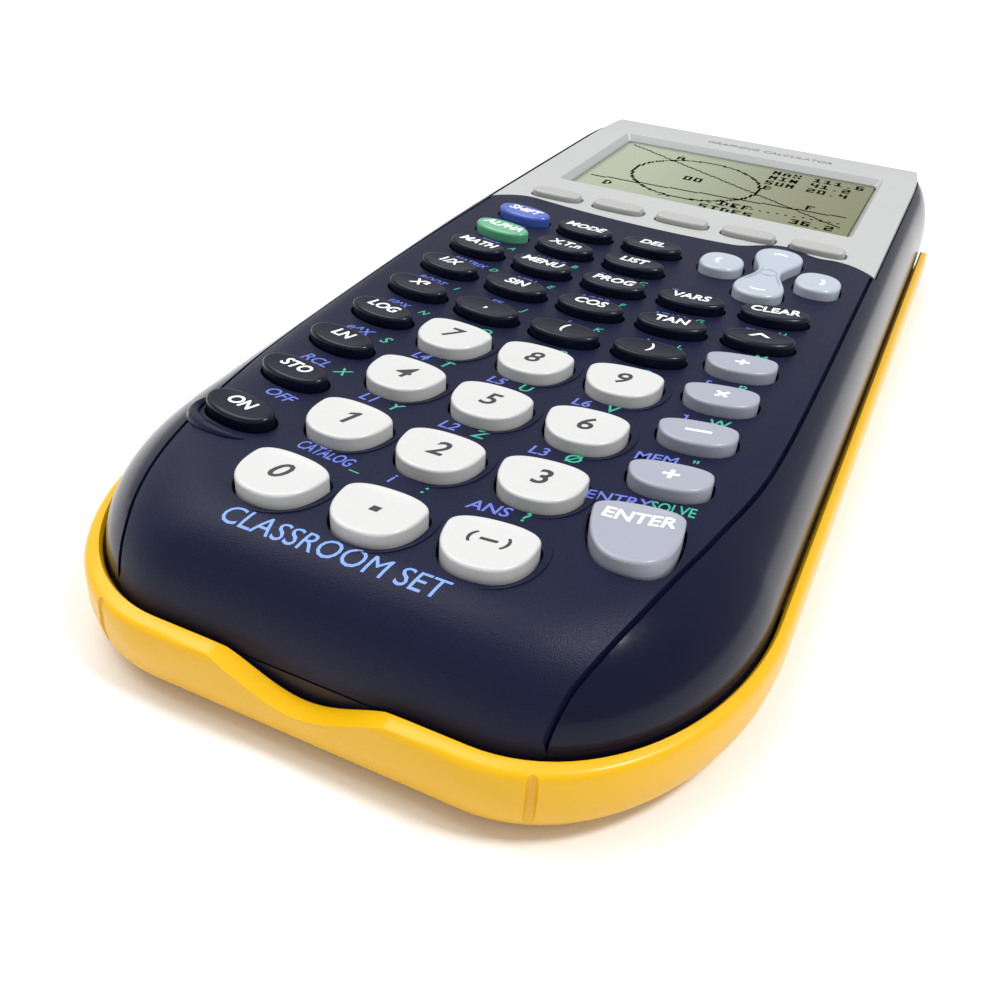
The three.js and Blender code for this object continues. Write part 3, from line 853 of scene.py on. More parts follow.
@dataclass
class Lettering:
    """Slanted letters as thin closed shapes that lie on a surface."""

    slant: float = 0.22
    thickness: float = 0.04
    cap_share: float = 0.7
    strip: float = 0.9

    def shape(
        self, text: str, height: float, weight: Weight, limit: float = 1e9,
    ) -> tuple[list[Vector], list[list[int]]]:
        """Letters about their own middle.

        Args:
            text: What they say.
            height: Height of a capital.
            weight: How thick they are.
            limit: Widest that the text may be; wider text is squeezed.

        Returns:
            Corners in millimetres and faces.
        """
        curve = bpy.data.curves.new("lettering", "FONT")
        curve.body = text
        curve.size = height / self.cap_share
        curve.shear = self.slant
        curve.offset = weight.value * height
        curve.extrude = self.thickness / 2
        curve.resolution_u = 3
        holder = bpy.data.objects.new("lettering", curve)
        mesh = bpy.data.meshes.new_from_object(holder)
        self.divide(mesh)
        points = [v.co.copy() for v in mesh.vertices]
        faces = [list(p.vertices) for p in mesh.polygons]
        bpy.data.meshes.remove(mesh)
        bpy.data.objects.remove(holder)
        bpy.data.curves.remove(curve)
        low = min(p.x for p in points)
        high = max(p.x for p in points)
        squeeze = min(1.0, limit / (high - low))
        middle = (low + high) / 2
        return [Vector(((p.x - middle) * squeeze, p.y - height / 2, p.z)) for p in points], faces

    def divide(self, mesh: bpy.types.Mesh) -> None:
        """Cut the letters into short strips, so that they can follow a curved surface.

        Args:
            mesh: The mesh of the letters.
        """
        work = bmesh.new()
        work.from_mesh(mesh)
        bmesh.ops.remove_doubles(work, verts=work.verts, dist=1e-4)
        for axis, direction in ((0, (1, 0, 0)), (1, (0, 1, 0))):
            low = min(v.co[axis] for v in work.verts)
            high = max(v.co[axis] for v in work.verts)
            for i in range(1, math.ceil((high - low) / self.strip)):
                parts = [*work.verts, *work.edges, *work.faces]
                place = Vector(direction) * (low + i * self.strip)
                bmesh.ops.bisect_plane(work, geom=parts, dist=1e-5, plane_co=place, plane_no=direction)
        work.to_mesh(mesh)
        work.free()

    def lay(
        self, builder: MeshBuilder, text: str, place: Matrix, height: float, weight: Weight,
        surface: Callable[[float, float], float], offset: Point = (0.0, 0.0), limit: float = 1e9,
    ) -> None:
        """Add letters that follow a surface.

        Args:
            builder: Collects the shapes.
            text: What they say.
            place: Turn and place of the surface.
            height: Height of a capital.
            weight: How thick they are.
            surface: Height of the surface over its own plan.
            offset: Middle of the text on that plan.
            limit: Widest that the text may be.
        """
        points, faces = self.shape(text, height, weight, limit)
        laid = []
        for p in points:
            x, y = p.x + offset[0], p.y + offset[1]
            laid.append(place @ Vector((x, y, surface(x, y) + self.thickness / 2 + p.z)))
        builder.add(laid, faces)


LETTERING = Lettering()


# ---------------------------------------------------------------- keys


@dataclass(frozen=True)
class KeyShape:
    """Two half super-ellipses on one widest line: a lens or a D."""

    half_width: float
    rise: float
    drop: float
    widest: float
    fullness: float
    edge: float
    dish: float
    corners: int = 56

    def outline(self, grow: float = 0.0) -> Outline:
        """Outline of the key.

        Args:
            grow: How far it is pushed outwards.

        Returns:
            The outline.
        """
        points = []
        for i in range(self.corners):
            angle = 2 * math.pi * (i + 0.5) / self.corners
            across, along = math.cos(angle), math.sin(angle)
            reach = (self.rise if along > 0 else self.drop) + grow
            points.append((
                (self.half_width + grow) * math.copysign(abs(across) ** self.fullness, across),
                self.widest + reach * math.copysign(abs(along) ** self.fullness, along),
            ))
        return points

    def sink(self, x: float, y: float) -> float:
        """How far the top lies below its rim.

        Args:
            x: Place across the key.
            y: Place along the key.

        Returns:
            The depth.
        """
        reach = (self.rise if y > self.widest else self.drop) - self.edge
        power = 2 / self.fullness
        share = (abs(x) / (self.half_width - self.edge)) ** power
        share += (abs(y - self.widest) / reach) ** power
        return self.dish * max(0.0, 1 - share ** self.fullness)


@dataclass(frozen=True)
class RockerShape(KeyShape):
    """Hourglass: two round lobes joined by a waist."""

    lobe: float = 3.95
    waist: float = 2.0
    shoulder: float = 7.4
    roundness: float = 2.3

    def reach(self, y: float) -> float:
        """Half of the width at a place along the rocker."""
        if abs(y) < self.shoulder:
            swell = (1 - math.cos(math.pi * y / self.shoulder)) / 2
            return self.waist + (self.lobe - self.waist) * swell
        past = (abs(y) - self.shoulder) / (self.rise - self.shoulder)
        return self.lobe * max(0.0, 1 - past ** self.roundness) ** (1 / self.roundness)

    def outline(self, grow: float = 0.0) -> Outline:
        """Outline of the rocker.

        Args:
            grow: How far it is pushed outwards.

        Returns:
            The outline.
        """
        steps = self.corners
        side = []
        for i in range(steps + 1):
            y = -self.rise * math.cos(math.pi * i / steps)
            side.append(Vector((self.reach(y), y)))
        whole = [*side, *(Vector((-p.x, p.y)) for p in reversed(side[1:-1]))]
        points = []
        for i, point in enumerate(whole):
            along = (whole[(i + 1) % len(whole)] - whole[i - 1]).normalized()
            points.append(tuple(point + grow * Vector((along.y, -along.x))))
        return points

    def sink(self, x: float, y: float) -> float:
        """How far the top lies below its rim: the lobes are hollowed for the fingertip."""
        return self.dish * max(0.0, 1 - (y / self.rise) ** 2)


class KeyKind(Enum):
    """The shapes of key on the keypad."""

    LENS = KeyShape(5.15, 2.45, 2.85, 0.0, 0.95, 0.55, 0.12)
    NUMBER = KeyShape(5.05, 2.3, 6.15, 1.8, 0.85, 0.38, 0.18)
    OPERATOR = KeyShape(4.85, 1.7, 4.0, 1.6, 0.82, 0.42, 0.14)
    ENTER = KeyShape(5.0, 1.8, 8.7, 3.6, 0.82, 0.42, 0.3)
    ARROW = KeyShape(3.6, 3.9, 3.9, 0.0, 0.85, 0.6, 0.12)
    CAPSULE = KeyShape(4.85, 1.95, 1.95, 0.0, 0.6, 0.55, 0.1)
    ROCKER = RockerShape(3.95, 11.3, 11.3, 0.0, 1.0, 0.6, 0.35)


@dataclass(frozen=True)
class KeyPlan:
    """One key: its node, shape, legends and finish."""

    node: str
    kind: KeyKind
    finish: str
    legend: str = ""
    ink: str = "white_ink"
    over_left: str = ""
    over_right: str = ""


@dataclass
class Key:
    """A key cap with its legend, placed on its CAD node."""

    plan: KeyPlan
    smile_rise: float = 2.6
    outer_column: float = 25.0
    stem: float = 4.6
    place: Matrix = field(init=False)
    top: float = field(init=False)

    def __post_init__(self) -> None:
        """Work out where the key stands from the box of its node."""
        low, high = box_mm(self.plan.node)
        self.top = high.z
        x = (low.x + high.x) / 2
        follows_smile = self.plan.kind not in (KeyKind.ARROW, KeyKind.CAPSULE, KeyKind.ROCKER)
        turn = math.atan(2 * self.smile_rise * x / self.outer_column ** 2) if follows_smile else 0.0
        spin = Matrix.Rotation(turn, 4, "Z")
        reach = [spin @ Vector((*p, 0)) for p in self.plan.kind.value.outline()]
        middle_x = (min(p.x for p in reach) + max(p.x for p in reach)) / 2
        middle_y = (min(p.y for p in reach) + max(p.y for p in reach)) / 2
        centre = Vector((x - middle_x, (low.y + high.y) / 2 - middle_y, 0))
        self.place = Matrix.Translation(centre) @ spin

    def plan_outline(self, grow: float) -> Outline:
        """Outline of the key where it stands, pushed outwards by grow."""
        return [tuple((self.place @ Vector((*p, 0)))[:2]) for p in self.plan.kind.value.outline(grow)]

    def surface(self, x: float, y: float) -> float:
        """Height of the top over the key's own plan."""
        return self.top - self.plan.kind.value.sink(x, y)

    def rings(self) -> list[list[Vector]]:
        """Rings of the cap: straight stem, rounded rim, hollowed top.

        Returns:
            Points of each ring, from the bottom up.
        """
        shape = self.plan.kind.value
        rings = []
        steps = 6
        for i in range(-1, steps + 1):
            angle = math.pi / 2 * max(i, 0) / steps
            inset = shape.edge * (1 - math.cos(angle))
            drop = self.stem if i < 0 else shape.edge * (1 - math.sin(angle))
            rings.append([self.place @ Vector((x, y, self.top - drop)) for x, y in shape.outline(-inset)])
        rim = shape.outline(-shape.edge)
        for share in (0.97, 0.9, 0.8, 0.65, 0.5, 0.35, 0.2, 0.08):
            ring = [(x * share, shape.widest + (y - shape.widest) * share) for x, y in rim]
            rings.append([
                self.place @ Vector((x, y, self.top - self.hollow(share, x, y))) for x, y in ring
            ])
        return rings

    def hollow(self, share: float, x: float, y: float) -> float:
        """Depth of the top below its rim, eased to nothing where the rim begins."""
        return self.plan.kind.value.sink(x, y) * min(1.0, (1 - share) * 6)

    def build(self, palette: Palette) -> None:
        """Make the cap and its legend.

        Args:
            palette: The materials.
        """
        plan = self.plan
        builder = MeshBuilder()
        builder.add_rings(self.rings())
        cap = builder.build(f"{plan.node}_cap", 50)
        dress(cap, getattr(palette, plan.finish))
        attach(cap, plan.node)
        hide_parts(plan.node)
        marks = MeshBuilder()
        self.add_legend(marks)
        if marks.vertices:
            legend = marks.build(f"{plan.node}_legend")
            dress(legend, getattr(palette, plan.ink))
            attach(legend, plan.node)

    def add_legend(self, marks: MeshBuilder) -> None:
        """Add the printed mark of the key.

        Args:
            marks: Collects the shapes.
        """
        plan, shape = self.plan, self.plan.kind.value
        if plan.kind is KeyKind.ARROW:
            self.add_arrow_mark(marks, 1.0 if self.place.translation.x > 20 else -1.0)
            return
        if plan.kind is KeyKind.ROCKER:
            self.add_rocker_marks(marks)
            return
        if not plan.legend:
            return
        height, middle, weight = {
            KeyKind.NUMBER: (3.0, 0.55, Weight.BOLD),
            KeyKind.OPERATOR: (2.6, 0.75, Weight.HEAVY),
            KeyKind.ENTER: (1.9, 2.9, Weight.HEAVY),
        }.get(plan.kind, (1.75, 0.35, Weight.HEAVY))
        if plan.legend in DRAWN_MARKS:
            for figure in DRAWN_MARKS[plan.legend]:
                self.add_flat(marks, [(x + LETTERING.slant * y, y + middle) for x, y in figure])
            return
        LETTERING.lay(
            marks, plan.legend, self.place, height, weight, self.surface,
            (0.0, middle), 2 * shape.half_width - 2.2,
        )

    def add_arrow_mark(self, marks: MeshBuilder, side: float) -> None:
        """Add a small bow that points outwards.

        Args:
            marks: Collects the shapes.
            side: 1 for the right key, -1 for the left one.
        """
        bow = arc((-0.9 * side, 0.0), (2.0 * side, 1.9), -42, 42, 8)
        inner = arc((-0.9 * side, 0.0), (1.45 * side, 1.6), 42, -42, 8)
        points = bow + inner
        self.add_flat(marks, points if side > 0 else points[::-1])

    def add_rocker_marks(self, marks: MeshBuilder) -> None:
        """Add the bows of the two lobes.

        Args:
            marks: Collects the shapes.
        """
        for end in (1.0, -1.0):
            bow = arc((0.0, 7.0 * end), (1.9, 2.0 * end), 48, 132, 8)
            inner = arc((0.0, 7.0 * end), (1.6, 1.45 * end), 132, 48, 8)
            points = bow + inner
            self.add_flat(marks, points if end > 0 else points[::-1])

    def add_flat(self, marks: MeshBuilder, points: Outline) -> None:
        """Add a thin printed area on the top.

        Args:
            marks: Collects the shapes.
            points: Its outline on the key's own plan.
        """
        marks.add_rings([
            [self.place @ Vector((x, y, self.surface(x, y) + lift)) for x, y in points]
            for lift in (-0.05, LETTERING.thickness)
        ])


DRAWN_MARKS = {
    "1": [[(0.05, -1.5), (0.6, -1.5), (0.6, 1.5), (0.2, 1.5), (-0.62, 0.95), (-0.62, 0.5), (0.05, 0.85)]],
    ".": [[(-0.5, -0.9), (0.5, -0.9), (0.5, 0.0), (-0.5, 0.0)]],
    "-": [[(-1.6, -0.25), (1.6, -0.25), (1.6, 0.25), (-1.6, 0.25)]],
    "^": [[(-1.6, -0.5), (-1.0, -0.5), (0.0, 0.25), (1.0, -0.5), (1.6, -0.5), (0.15, 0.7), (-0.15, 0.7)]],
    "(-)": [
        [(-0.95, -0.2), (0.95, -0.2), (0.95, 0.2), (-0.95, 0.2)],
        arc((-0.5, 0.0), (1.75, 1.55), 138, 222, 8) + arc((-0.5, 0.0), (1.4, 1.4), 222, 138, 8),
        arc((0.5, 0.0), (1.75, 1.55), -42, 42, 8) + arc((0.5, 0.0), (1.4, 1.4), 42, -42, 8),
    ],
}
"""Outlines of the marks that are drawn, not set in letters, upright about their middle."""


def key_plans() -> list[KeyPlan]:
    """Every key with its legends.

    Returns:
        The plans, row by row.
    """
    lens, number, operator = KeyKind.LENS, KeyKind.NUMBER, KeyKind.OPERATOR
    plans = [
        KeyPlan("shift_key", lens, "blue", "SHIFT"),
        KeyPlan("alpha_key", lens, "green", "ALPHA", over_left="LOCK"),
        KeyPlan("enter_key", KeyKind.ENTER, "lavender", "ENTER",
                over_left="ENTRY", over_right="SOLVE"),
        KeyPlan("left_key", KeyKind.ARROW, "arrow"),
        KeyPlan("right_key", KeyKind.ARROW, "arrow"),
        KeyPlan("up_down_key", KeyKind.ROCKER, "arrow"),
        *(KeyPlan(f"function_key_{i}", KeyKind.CAPSULE, "function") for i in range(1, 6)),
    ]
    for name, legend, left, right in (
        ("mode", "MODE", "QUIT", ""), ("delete", "DEL", "INS", ""),
        ("variable", "X,T,n", "LINK", ""), ("list", "LIST", "SORT", ""),
        ("math", "MATH", "TEST", "A"), ("apps", "MENU", "ANGLE", "B"),
        ("program", "PROG", "DRAW", "C"), ("vars", "VARS", "TABLE", ""),
        ("clear", "CLEAR", "", ""), ("reciprocal", "1/X", "MATRIX", "D"),
        ("sine", "SIN", "ASIN", "E"), ("cosine", "COS", "ACOS", "F"),
        ("tangent", "TAN", "ATAN", "G"), ("power", "^", "PI", "H"),
        ("square", "X²", "ROOT", "I"), ("comma", ",", "EE", "J"),
        ("open_bracket", "(", "{", "K"), ("close_bracket", ")", "}", "L"),
        ("log", "LOG", "10^X", "N"), ("ln", "LN", "e^X", "S"),
        ("store", "STO", "RCL", "X"), ("on", "ON", "OFF", ""),
    ):
        plans.append(
            KeyPlan(f"{name}_key", lens, "black", legend, over_left=left, over_right=right)
        )
    for name, legend, left, right in (
        ("seven", "7", "u", "O"), ("eight", "8", "v", "P"), ("nine", "9", "w", "Q"),
        ("four", "4", "L4", "T"), ("five", "5", "L5", "U"), ("six", "6", "L6", "V"),
        ("one", "1", "L1", "Y"), ("two", "2", "L2", "Z"), ("three", "3", "L3", "Ø"),
        ("zero", "0", "CATALOG", "_"), ("point", ".", "i", ":"), ("negate", "(-)", "ANS", "?"),
    ):
        plans.append(KeyPlan(f"{name}_key", number, "white", legend, "dark_ink", left, right))
    for name, legend, left, right in (
        ("divide", "÷", "e", "M"), ("multiply", "×", "[", "R"),
        ("subtract", "-", "]", "W"), ("add", "+", "MEM", '"'),
    ):
        plans.append(KeyPlan(f"{name}_key", operator, "lavender", legend, "white_ink", left, right))
    return plans


@dataclass
class Keypad:
    """All keys, and what is printed and moulded on the face around them."""

    gap: float = 0.35
    print_height: float = 1.75
    small_print_height: float = 1.25
    small_print_end: float = KEYPAD_Y - 45.0
    slogan: str = "CLASSROOM SET"
    slogan_height: float = 2.4
    slogan_middle: Point = (-1.3, -85.95)
    slogan_width: float = 32.5
    title: str = "GRAPHING CALCULATOR"
    title_middle: Point = (3.0, 86.3)
    title_height: float = 1.7
    keys: list[Key] = field(default_factory=lambda: [Key(plan) for plan in key_plans()])

    def holes(self, low: float, high: float) -> bpy.types.Object:
        """Cutter for the holes of all keys.

        Args:
            low: Bottom of the cutter.
            high: Top of the cutter.

        Returns:
            The cutter.
        """
        cutter = MeshBuilder()
        for key in self.keys:
            outline = key.plan_outline(self.gap)
            cutter.add_loft([(low, outline), (high, outline)])
        return cutter.build("key_holes")

    def build(self, palette: Palette, case: "FrontCase") -> None:
        """Make the keys and the marks on the face.

        Args:
            palette: The materials.
            case: The case whose face carries the marks.
        """
        for key in self.keys:
            key.build(palette)
        LOG.info("keys: %d caps", len(self.keys))
        self.build_prints(palette, case)
        self.build_ridges(palette, case)
        self.build_rings(palette)

    @staticmethod
    def print_places(plan: KeyPlan) -> tuple[float, float, float]:
        """Where the second legends stand over a key.

        Args:
            plan: The key.

        Returns:
            Their place along the key, then across it for the left and the right one.
        """
        lift, left, right = {
            KeyKind.NUMBER: (7.75, -2.5, 1.7),
            KeyKind.OPERATOR: (6.0, -2.0, 2.6),
            KeyKind.ENTER: (7.7, -2.6, 3.4),
        }.get(plan.kind, (5.1, -1.4, 3.4))
        if plan.node == "on_key":
            return 6.4, 0.0, right
        if plan.node in ("seven_key", "eight_key", "nine_key"):
            return 6.1, left, right
        if len(plan.over_left) > 5:
            return lift, 0.2, 5.0
        return lift, left, right

    def build_prints(self, palette: Palette, case: "FrontCase") -> None:
        """Print the second legends above the keys and the line below them.

        Args:
            palette: The materials.
            case: The case whose face carries them.
        """
        blue, green, line = MeshBuilder(), MeshBuilder(), MeshBuilder()
        for key in self.keys:
            lift, left, right = self.print_places(key.plan)
            small = key.plan.kind is KeyKind.LENS and key.place.translation.y > self.small_print_end
            height = self.small_print_height if small else self.print_height

            def face(x: float, y: float, place: Matrix = key.place) -> float:
                """Height of the case over the key's own plan."""
                spot = place @ Vector((x, y, 0))
                return case.height(spot.x, spot.y)

            if key.plan.over_left:
                LETTERING.lay(
                    blue, key.plan.over_left, key.place, height, Weight.BOLD, face,
                    (left, lift), 7.6,
                )
            if key.plan.over_right:
                LETTERING.lay(
                    green, key.plan.over_right, key.place, height, Weight.BOLD, face,
                    (right, lift), 5.2,
                )
        middle = Matrix.Translation((self.slogan_middle[0], KEYPAD_Y + self.slogan_middle[1], 0))
        LETTERING.lay(
            line, self.slogan, middle, self.slogan_height, Weight.PLAIN,
            lambda x, y: case.height(x + middle.translation.x, y + middle.translation.y),
            limit=self.slogan_width,
        )
        heading = MeshBuilder()
        _, plate_high = box_mm("screen_bezel")
        LETTERING.lay(
            heading, self.title,
            Matrix.Translation((self.title_middle[0], KEYPAD_Y + self.title_middle[1], 0)),
            self.title_height, Weight.PLAIN, lambda x, y: plate_high.z,
        )
        for name, builder, ink in (
            ("shifted_legends", blue, palette.blue_ink),
            ("letter_legends", green, palette.green_ink),
            ("face_line", line, palette.pale_blue_ink),
            ("bezel_title", heading, palette.grey_ink),
        ):
            piece = builder.build(name)
            dress(piece, ink)
            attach(piece, BODY)

    def build_ridges(self, palette: Palette, case: "FrontCase") -> None:
        """Mould the raised crescents around the number keys and the ON key.

        Args:
            palette: The materials.
            case: The case whose face carries them.
        """
        ridges = MeshBuilder()
        for key in self.keys:
            if key.plan.kind is KeyKind.NUMBER:
                angles, gap, radius = (-80.0, 15.0), 1.1, 0.24
            elif key.plan.node == "on_key":
                angles, gap, radius = (160.0, 310.0), 1.8, 0.85
            else:
                continue
            shape = key.plan.kind.value
            radii = (shape.half_width + gap, shape.drop + gap)
            path = []
            for x, y in arc((0.0, shape.widest), radii, *angles, 18):
                spot = key.place @ Vector((x, y, 0))
                path.append(Vector((spot.x, spot.y, case.height(spot.x, spot.y))))
            ridges.add_tube(path, radius)
        piece = ridges.build("face_ridges", 80)
        dress(piece, palette.case)
        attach(piece, BODY)

    def build_rings(self, palette: Palette) -> None:
        """Make the small raised ring on the waist of the rocker.

        Args:
            palette: The materials.
        """
        rocker = next(key for key in self.keys if key.plan.kind is KeyKind.ROCKER)
        ring = MeshBuilder()
        for half in (0.0, 180.0):
            points = arc((0.0, 0.0), (1.25, 1.25), half - 2, half + 182, 16)
            path = [rocker.place @ Vector((x, y, rocker.surface(x, y))) for x, y in points]
            ring.add_tube(path, 0.2)
        piece = ring.build("up_down_key_ring", 80)
        dress(piece, palette.arrow)
        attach(piece, "up_down_key")


# ---------------------------------------------------------------- casings


@dataclass
class FrontCase:
    """Navy front shell with its shoulder, keypad holes, grooves and bezel seat."""

    plan: BodyPlan = field(default_factory=lambda: BodyPlan(HALF_WIDTH, CASE_LOW.y, CASE_HIGH.y))
    wall: float = 2.0
    skin: float = 1.8
    hole_depth: float = 6.0
    shelf_under: float = 16.9
    shelf_start: float = 21.0
    seat: float = 18.3
    side_draw: tuple[float, float] = (5.0, 13.5)
    side_span: tuple[float, float] = (25.0, -66.0)
    bottom_draw: float = 9.0
    top_draw: float = 2.0
    groove_half: float = 0.32
    groove_depth: float = 0.55

    def side_inset(self, y: float) -> float:
        """How far the side shoulder draws in at a place along the case."""
        start, end = self.side_span
        share = min(1.0, max(0.0, (KEYPAD_Y + start - y) / (start - end)))
        return self.side_draw[0] + (self.side_draw[1] - self.side_draw[0]) * share ** 2

    def level(self, inset: float, drawn: float) -> Outline:
        """Outline of the shell for a share of the shoulder.

        Args:
            inset: Wall thickness to take off.
            drawn: Share of the shoulder, from 0 at the seam to 1 at the face.

        Returns:
            The outline.
        """
        outline = self.plan.outline(
            inset, inset + self.bottom_draw * drawn, inset + self.top_draw * drawn
        )
        return [(x * (1 - drawn * self.side_inset(y) / HALF_WIDTH), y) for x, y in outline]

    def levels(self, inset: float, face: float, steps: int) -> Levels:
        """Levels of the shell from the seam to the face.

        Args:
            inset: Wall thickness to take off.
            face: Height of the face.
            steps: Number of steps.

        Returns:
            The levels.
        """
        levels = []
        for i in range(steps + 1):
            angle = math.pi / 2 * i / steps
            height = SEAM_Z + (face - SEAM_Z) * math.sin(angle)
            levels.append((height, self.level(inset, 1 - math.cos(angle))))
        return levels

    def height(self, x: float, y: float) -> float:
        """Height of the outside of the shell.

        Args:
            x: Place across the case.
            y: Place along the case.

        Returns:
            The height, found by halving the share of the shoulder.
        """
        if self.holds(self.level(0.0, 1.0), x, y):
            return FACE_Z
        low, high = 0.0, 1.0
        for _ in range(14):
            middle = (low + high) / 2
            if self.holds(self.level(0.0, middle), x, y):
                low = middle
            else:
                high = middle
        return SEAM_Z + (FACE_Z - SEAM_Z) * math.sin(math.acos(1 - low))

    @staticmethod
    def holds(outline: Outline, x: float, y: float) -> bool:
        """Whether a point lies within an outline.

        Args:
            outline: The outline.
            x: Place across.
            y: Place along.

        Returns:
            True if it does.
        """
        inside = False
        for (x0, y0), (x1, y1) in zip(outline, outline[1:] + outline[:1]):
            if (y0 > y) != (y1 > y) and x < x0 + (x1 - x0) * (y - y0) / (y1 - y0):
                inside = not inside
        return inside

    def grooves(self) -> bpy.types.Object:
        """Cutter for the two grooves, which follow the outside of the shell.

        Returns:
            The cutter.
        """
        line = []
        for x, y in GROOVE.smooth(5):
            slope = (self.height(x, y + 0.2) - self.height(x, y - 0.2)) / 0.4
            line.append((x, y, self.height(x, y), self.groove_depth * math.hypot(1, slope)))
        cutter = MeshBuilder()
        for side in (1, -1):
            cutter.add_rings([
                [
                    (side * (x - self.groove_half), y, z + 2), (side * (x - self.groove_half), y, z),
                    (side * x, y, z - depth),
                    (side * (x + self.groove_half), y, z), (side * (x + self.groove_half), y, z + 2),
                ]
                for x, y, z, depth in line
            ])
        return cutter.build("grooves")

    def build(self, palette: Palette, keypad: Keypad, bezel: "ScreenBezel") -> None:
        """Make the shell.

        Args:
            palette: The materials.
            keypad: The keys, for their holes.
            bezel: The screen frame, for its seat.
        """
        shell = loft("front_case_shell", self.levels(0.0, FACE_Z, 20))
        hollow = loft("hollow", [
            (SEAM_Z - 1, self.plan.outline(self.wall, self.wall, self.wall)),
            *self.levels(self.wall, FACE_Z - self.skin, 12),
        ])
        shelf = MeshBuilder()
        shelf.add_block(
            (-HALF_WIDTH, KEYPAD_Y + self.shelf_start, self.shelf_under),
            (HALF_WIDTH, CASE_HIGH.y, FACE_Z),
        )
        carve(hollow, [shelf.build("shelf")])
        lens_low, lens_high = box_mm("screen_lens")
        opening = MeshBuilder()
        room = 0.3
        opening.add_block(
            (lens_low.x - room, lens_low.y - room, SEAM_Z),
            (lens_high.x + room, lens_high.y + room, FACE_Z + 1),
        )
        seat = loft("seat", [(self.seat, bezel.outline(room)), (FACE_Z + 2, bezel.outline(room))])
        carve(shell, [
            hollow, seat, opening.build("screen_opening"), self.grooves(),
            keypad.holes(FACE_Z - self.hole_depth, FACE_Z + 3),
        ])
        dress(shell, palette.case)
        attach(shell, BODY)
        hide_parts("front_case")
        LOG.info("front case: %d faces", len(shell.data.polygons))


@dataclass
class ScreenBezel:
    """Light plate around the screen, with a sloped frame down to the window."""

    rise: float = 2.4
    outer_column: float = 25.0
    corner_start: float = 27.5
    corner_drop: float = 6.0
    corner_reach: float = 8.5
    bulge_x: float = 19.0
    bulge_height: float = 3.6
    bulge_half_width: float = 8.0
    upper_centre: Point = (34.4, KEYPAD_Y + 74.0)
    slope: float = 1.2
    rounding: float = 0.45
    lens_rim: float = 1.3

    def __post_init__(self) -> None:
        """Read the plate's box from its CAD node."""
        self.low, self.high = box_mm("screen_bezel")
        count = 120
        places = [-self.high.x + 2 * self.high.x * i / count for i in range(count + 1)]
        self.base = self.low.y - min(self.edge_shape(x) for x in places)

    def edge_shape(self, x: float) -> float:
        """Lower edge of the plate, measured from its middle.

        Args:
            x: Place across the plate.

        Returns:
            The height of the edge along Y.
        """
        smile = self.rise * (x / self.outer_column) ** 2
        corner = max(0.0, (abs(x) - self.corner_start) / self.corner_reach)
        from_bulge = (x - self.bulge_x) / self.bulge_half_width
        bulge = math.cos(math.pi / 2 * from_bulge) ** 2 if abs(from_bulge) < 1 else 0.0
        return smile - self.corner_drop * corner ** 2 + self.bulge_height * bulge

    def outline(self, grow: float = 0.0) -> Outline:
        """Outline of the plate.

        Args:
            grow: How far it is pushed outwards.

        Returns:
            The outline.
        """
        half_width = self.high.x + grow
        radii = (half_width - self.upper_centre[0], self.high.y + grow - self.upper_centre[1])
        corner = arc(self.upper_centre, radii, 0, 90, 10)
        count = 96
        places = [-half_width + 2 * half_width * i / count for i in range(count + 1)]
        edge = [(x, self.base + self.edge_shape(x) - grow) for x in places]
        return corner + mirrored(corner) + edge

    def window(self, grow: float) -> Outline:
        """Rounded rectangle of the window.

        Args:
            grow: How far it is pushed outwards.

        Returns:
            The outline.
        """
        low, high = box_mm("screen_lens")
        reach_x = high.x - self.lens_rim + grow
        bottom, top = low.y + self.lens_rim - grow, high.y - self.lens_rim + grow
        radius = 1.0
        outline = []
        for x, y, start in (
            (reach_x, bottom, -90), (reach_x, top, 0), (-reach_x, top, 90), (-reach_x, bottom, 180),
        ):
            centre = (x - math.copysign(radius, x), y + (radius if y == bottom else -radius))
            outline += arc(centre, (radius, radius), start, start + 90, 5)
        return outline

    def build(self, palette: Palette, keypad: Keypad) -> None:
        """Make the plate.

        Args:
            palette: The materials.
            keypad: The keys, for the holes of the function keys.
        """
        top, steps = self.high.z, 4
        levels = [(self.low.z, self.outline())]
        for i in range(steps + 1):
            angle = math.pi / 2 * i / steps
            levels.append((
                top - self.rounding * (1 - math.sin(angle)),
                self.outline(-self.rounding * (1 - math.cos(angle))),
            ))
        plate = loft("screen_bezel_plate", levels)
        opening = loft("opening", [
            (self.low.z - 0.3, self.window(-0.25)), (top + 0.3, self.window(self.slope)),
        ])
        carve(plate, [opening, keypad.holes(self.low.z - 2, top + 2)])
        dress(plate, palette.silver)
        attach(plate, BODY)
        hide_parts("screen_bezel")
        LOG.info("screen bezel: %d faces", len(plate.data.polygons))


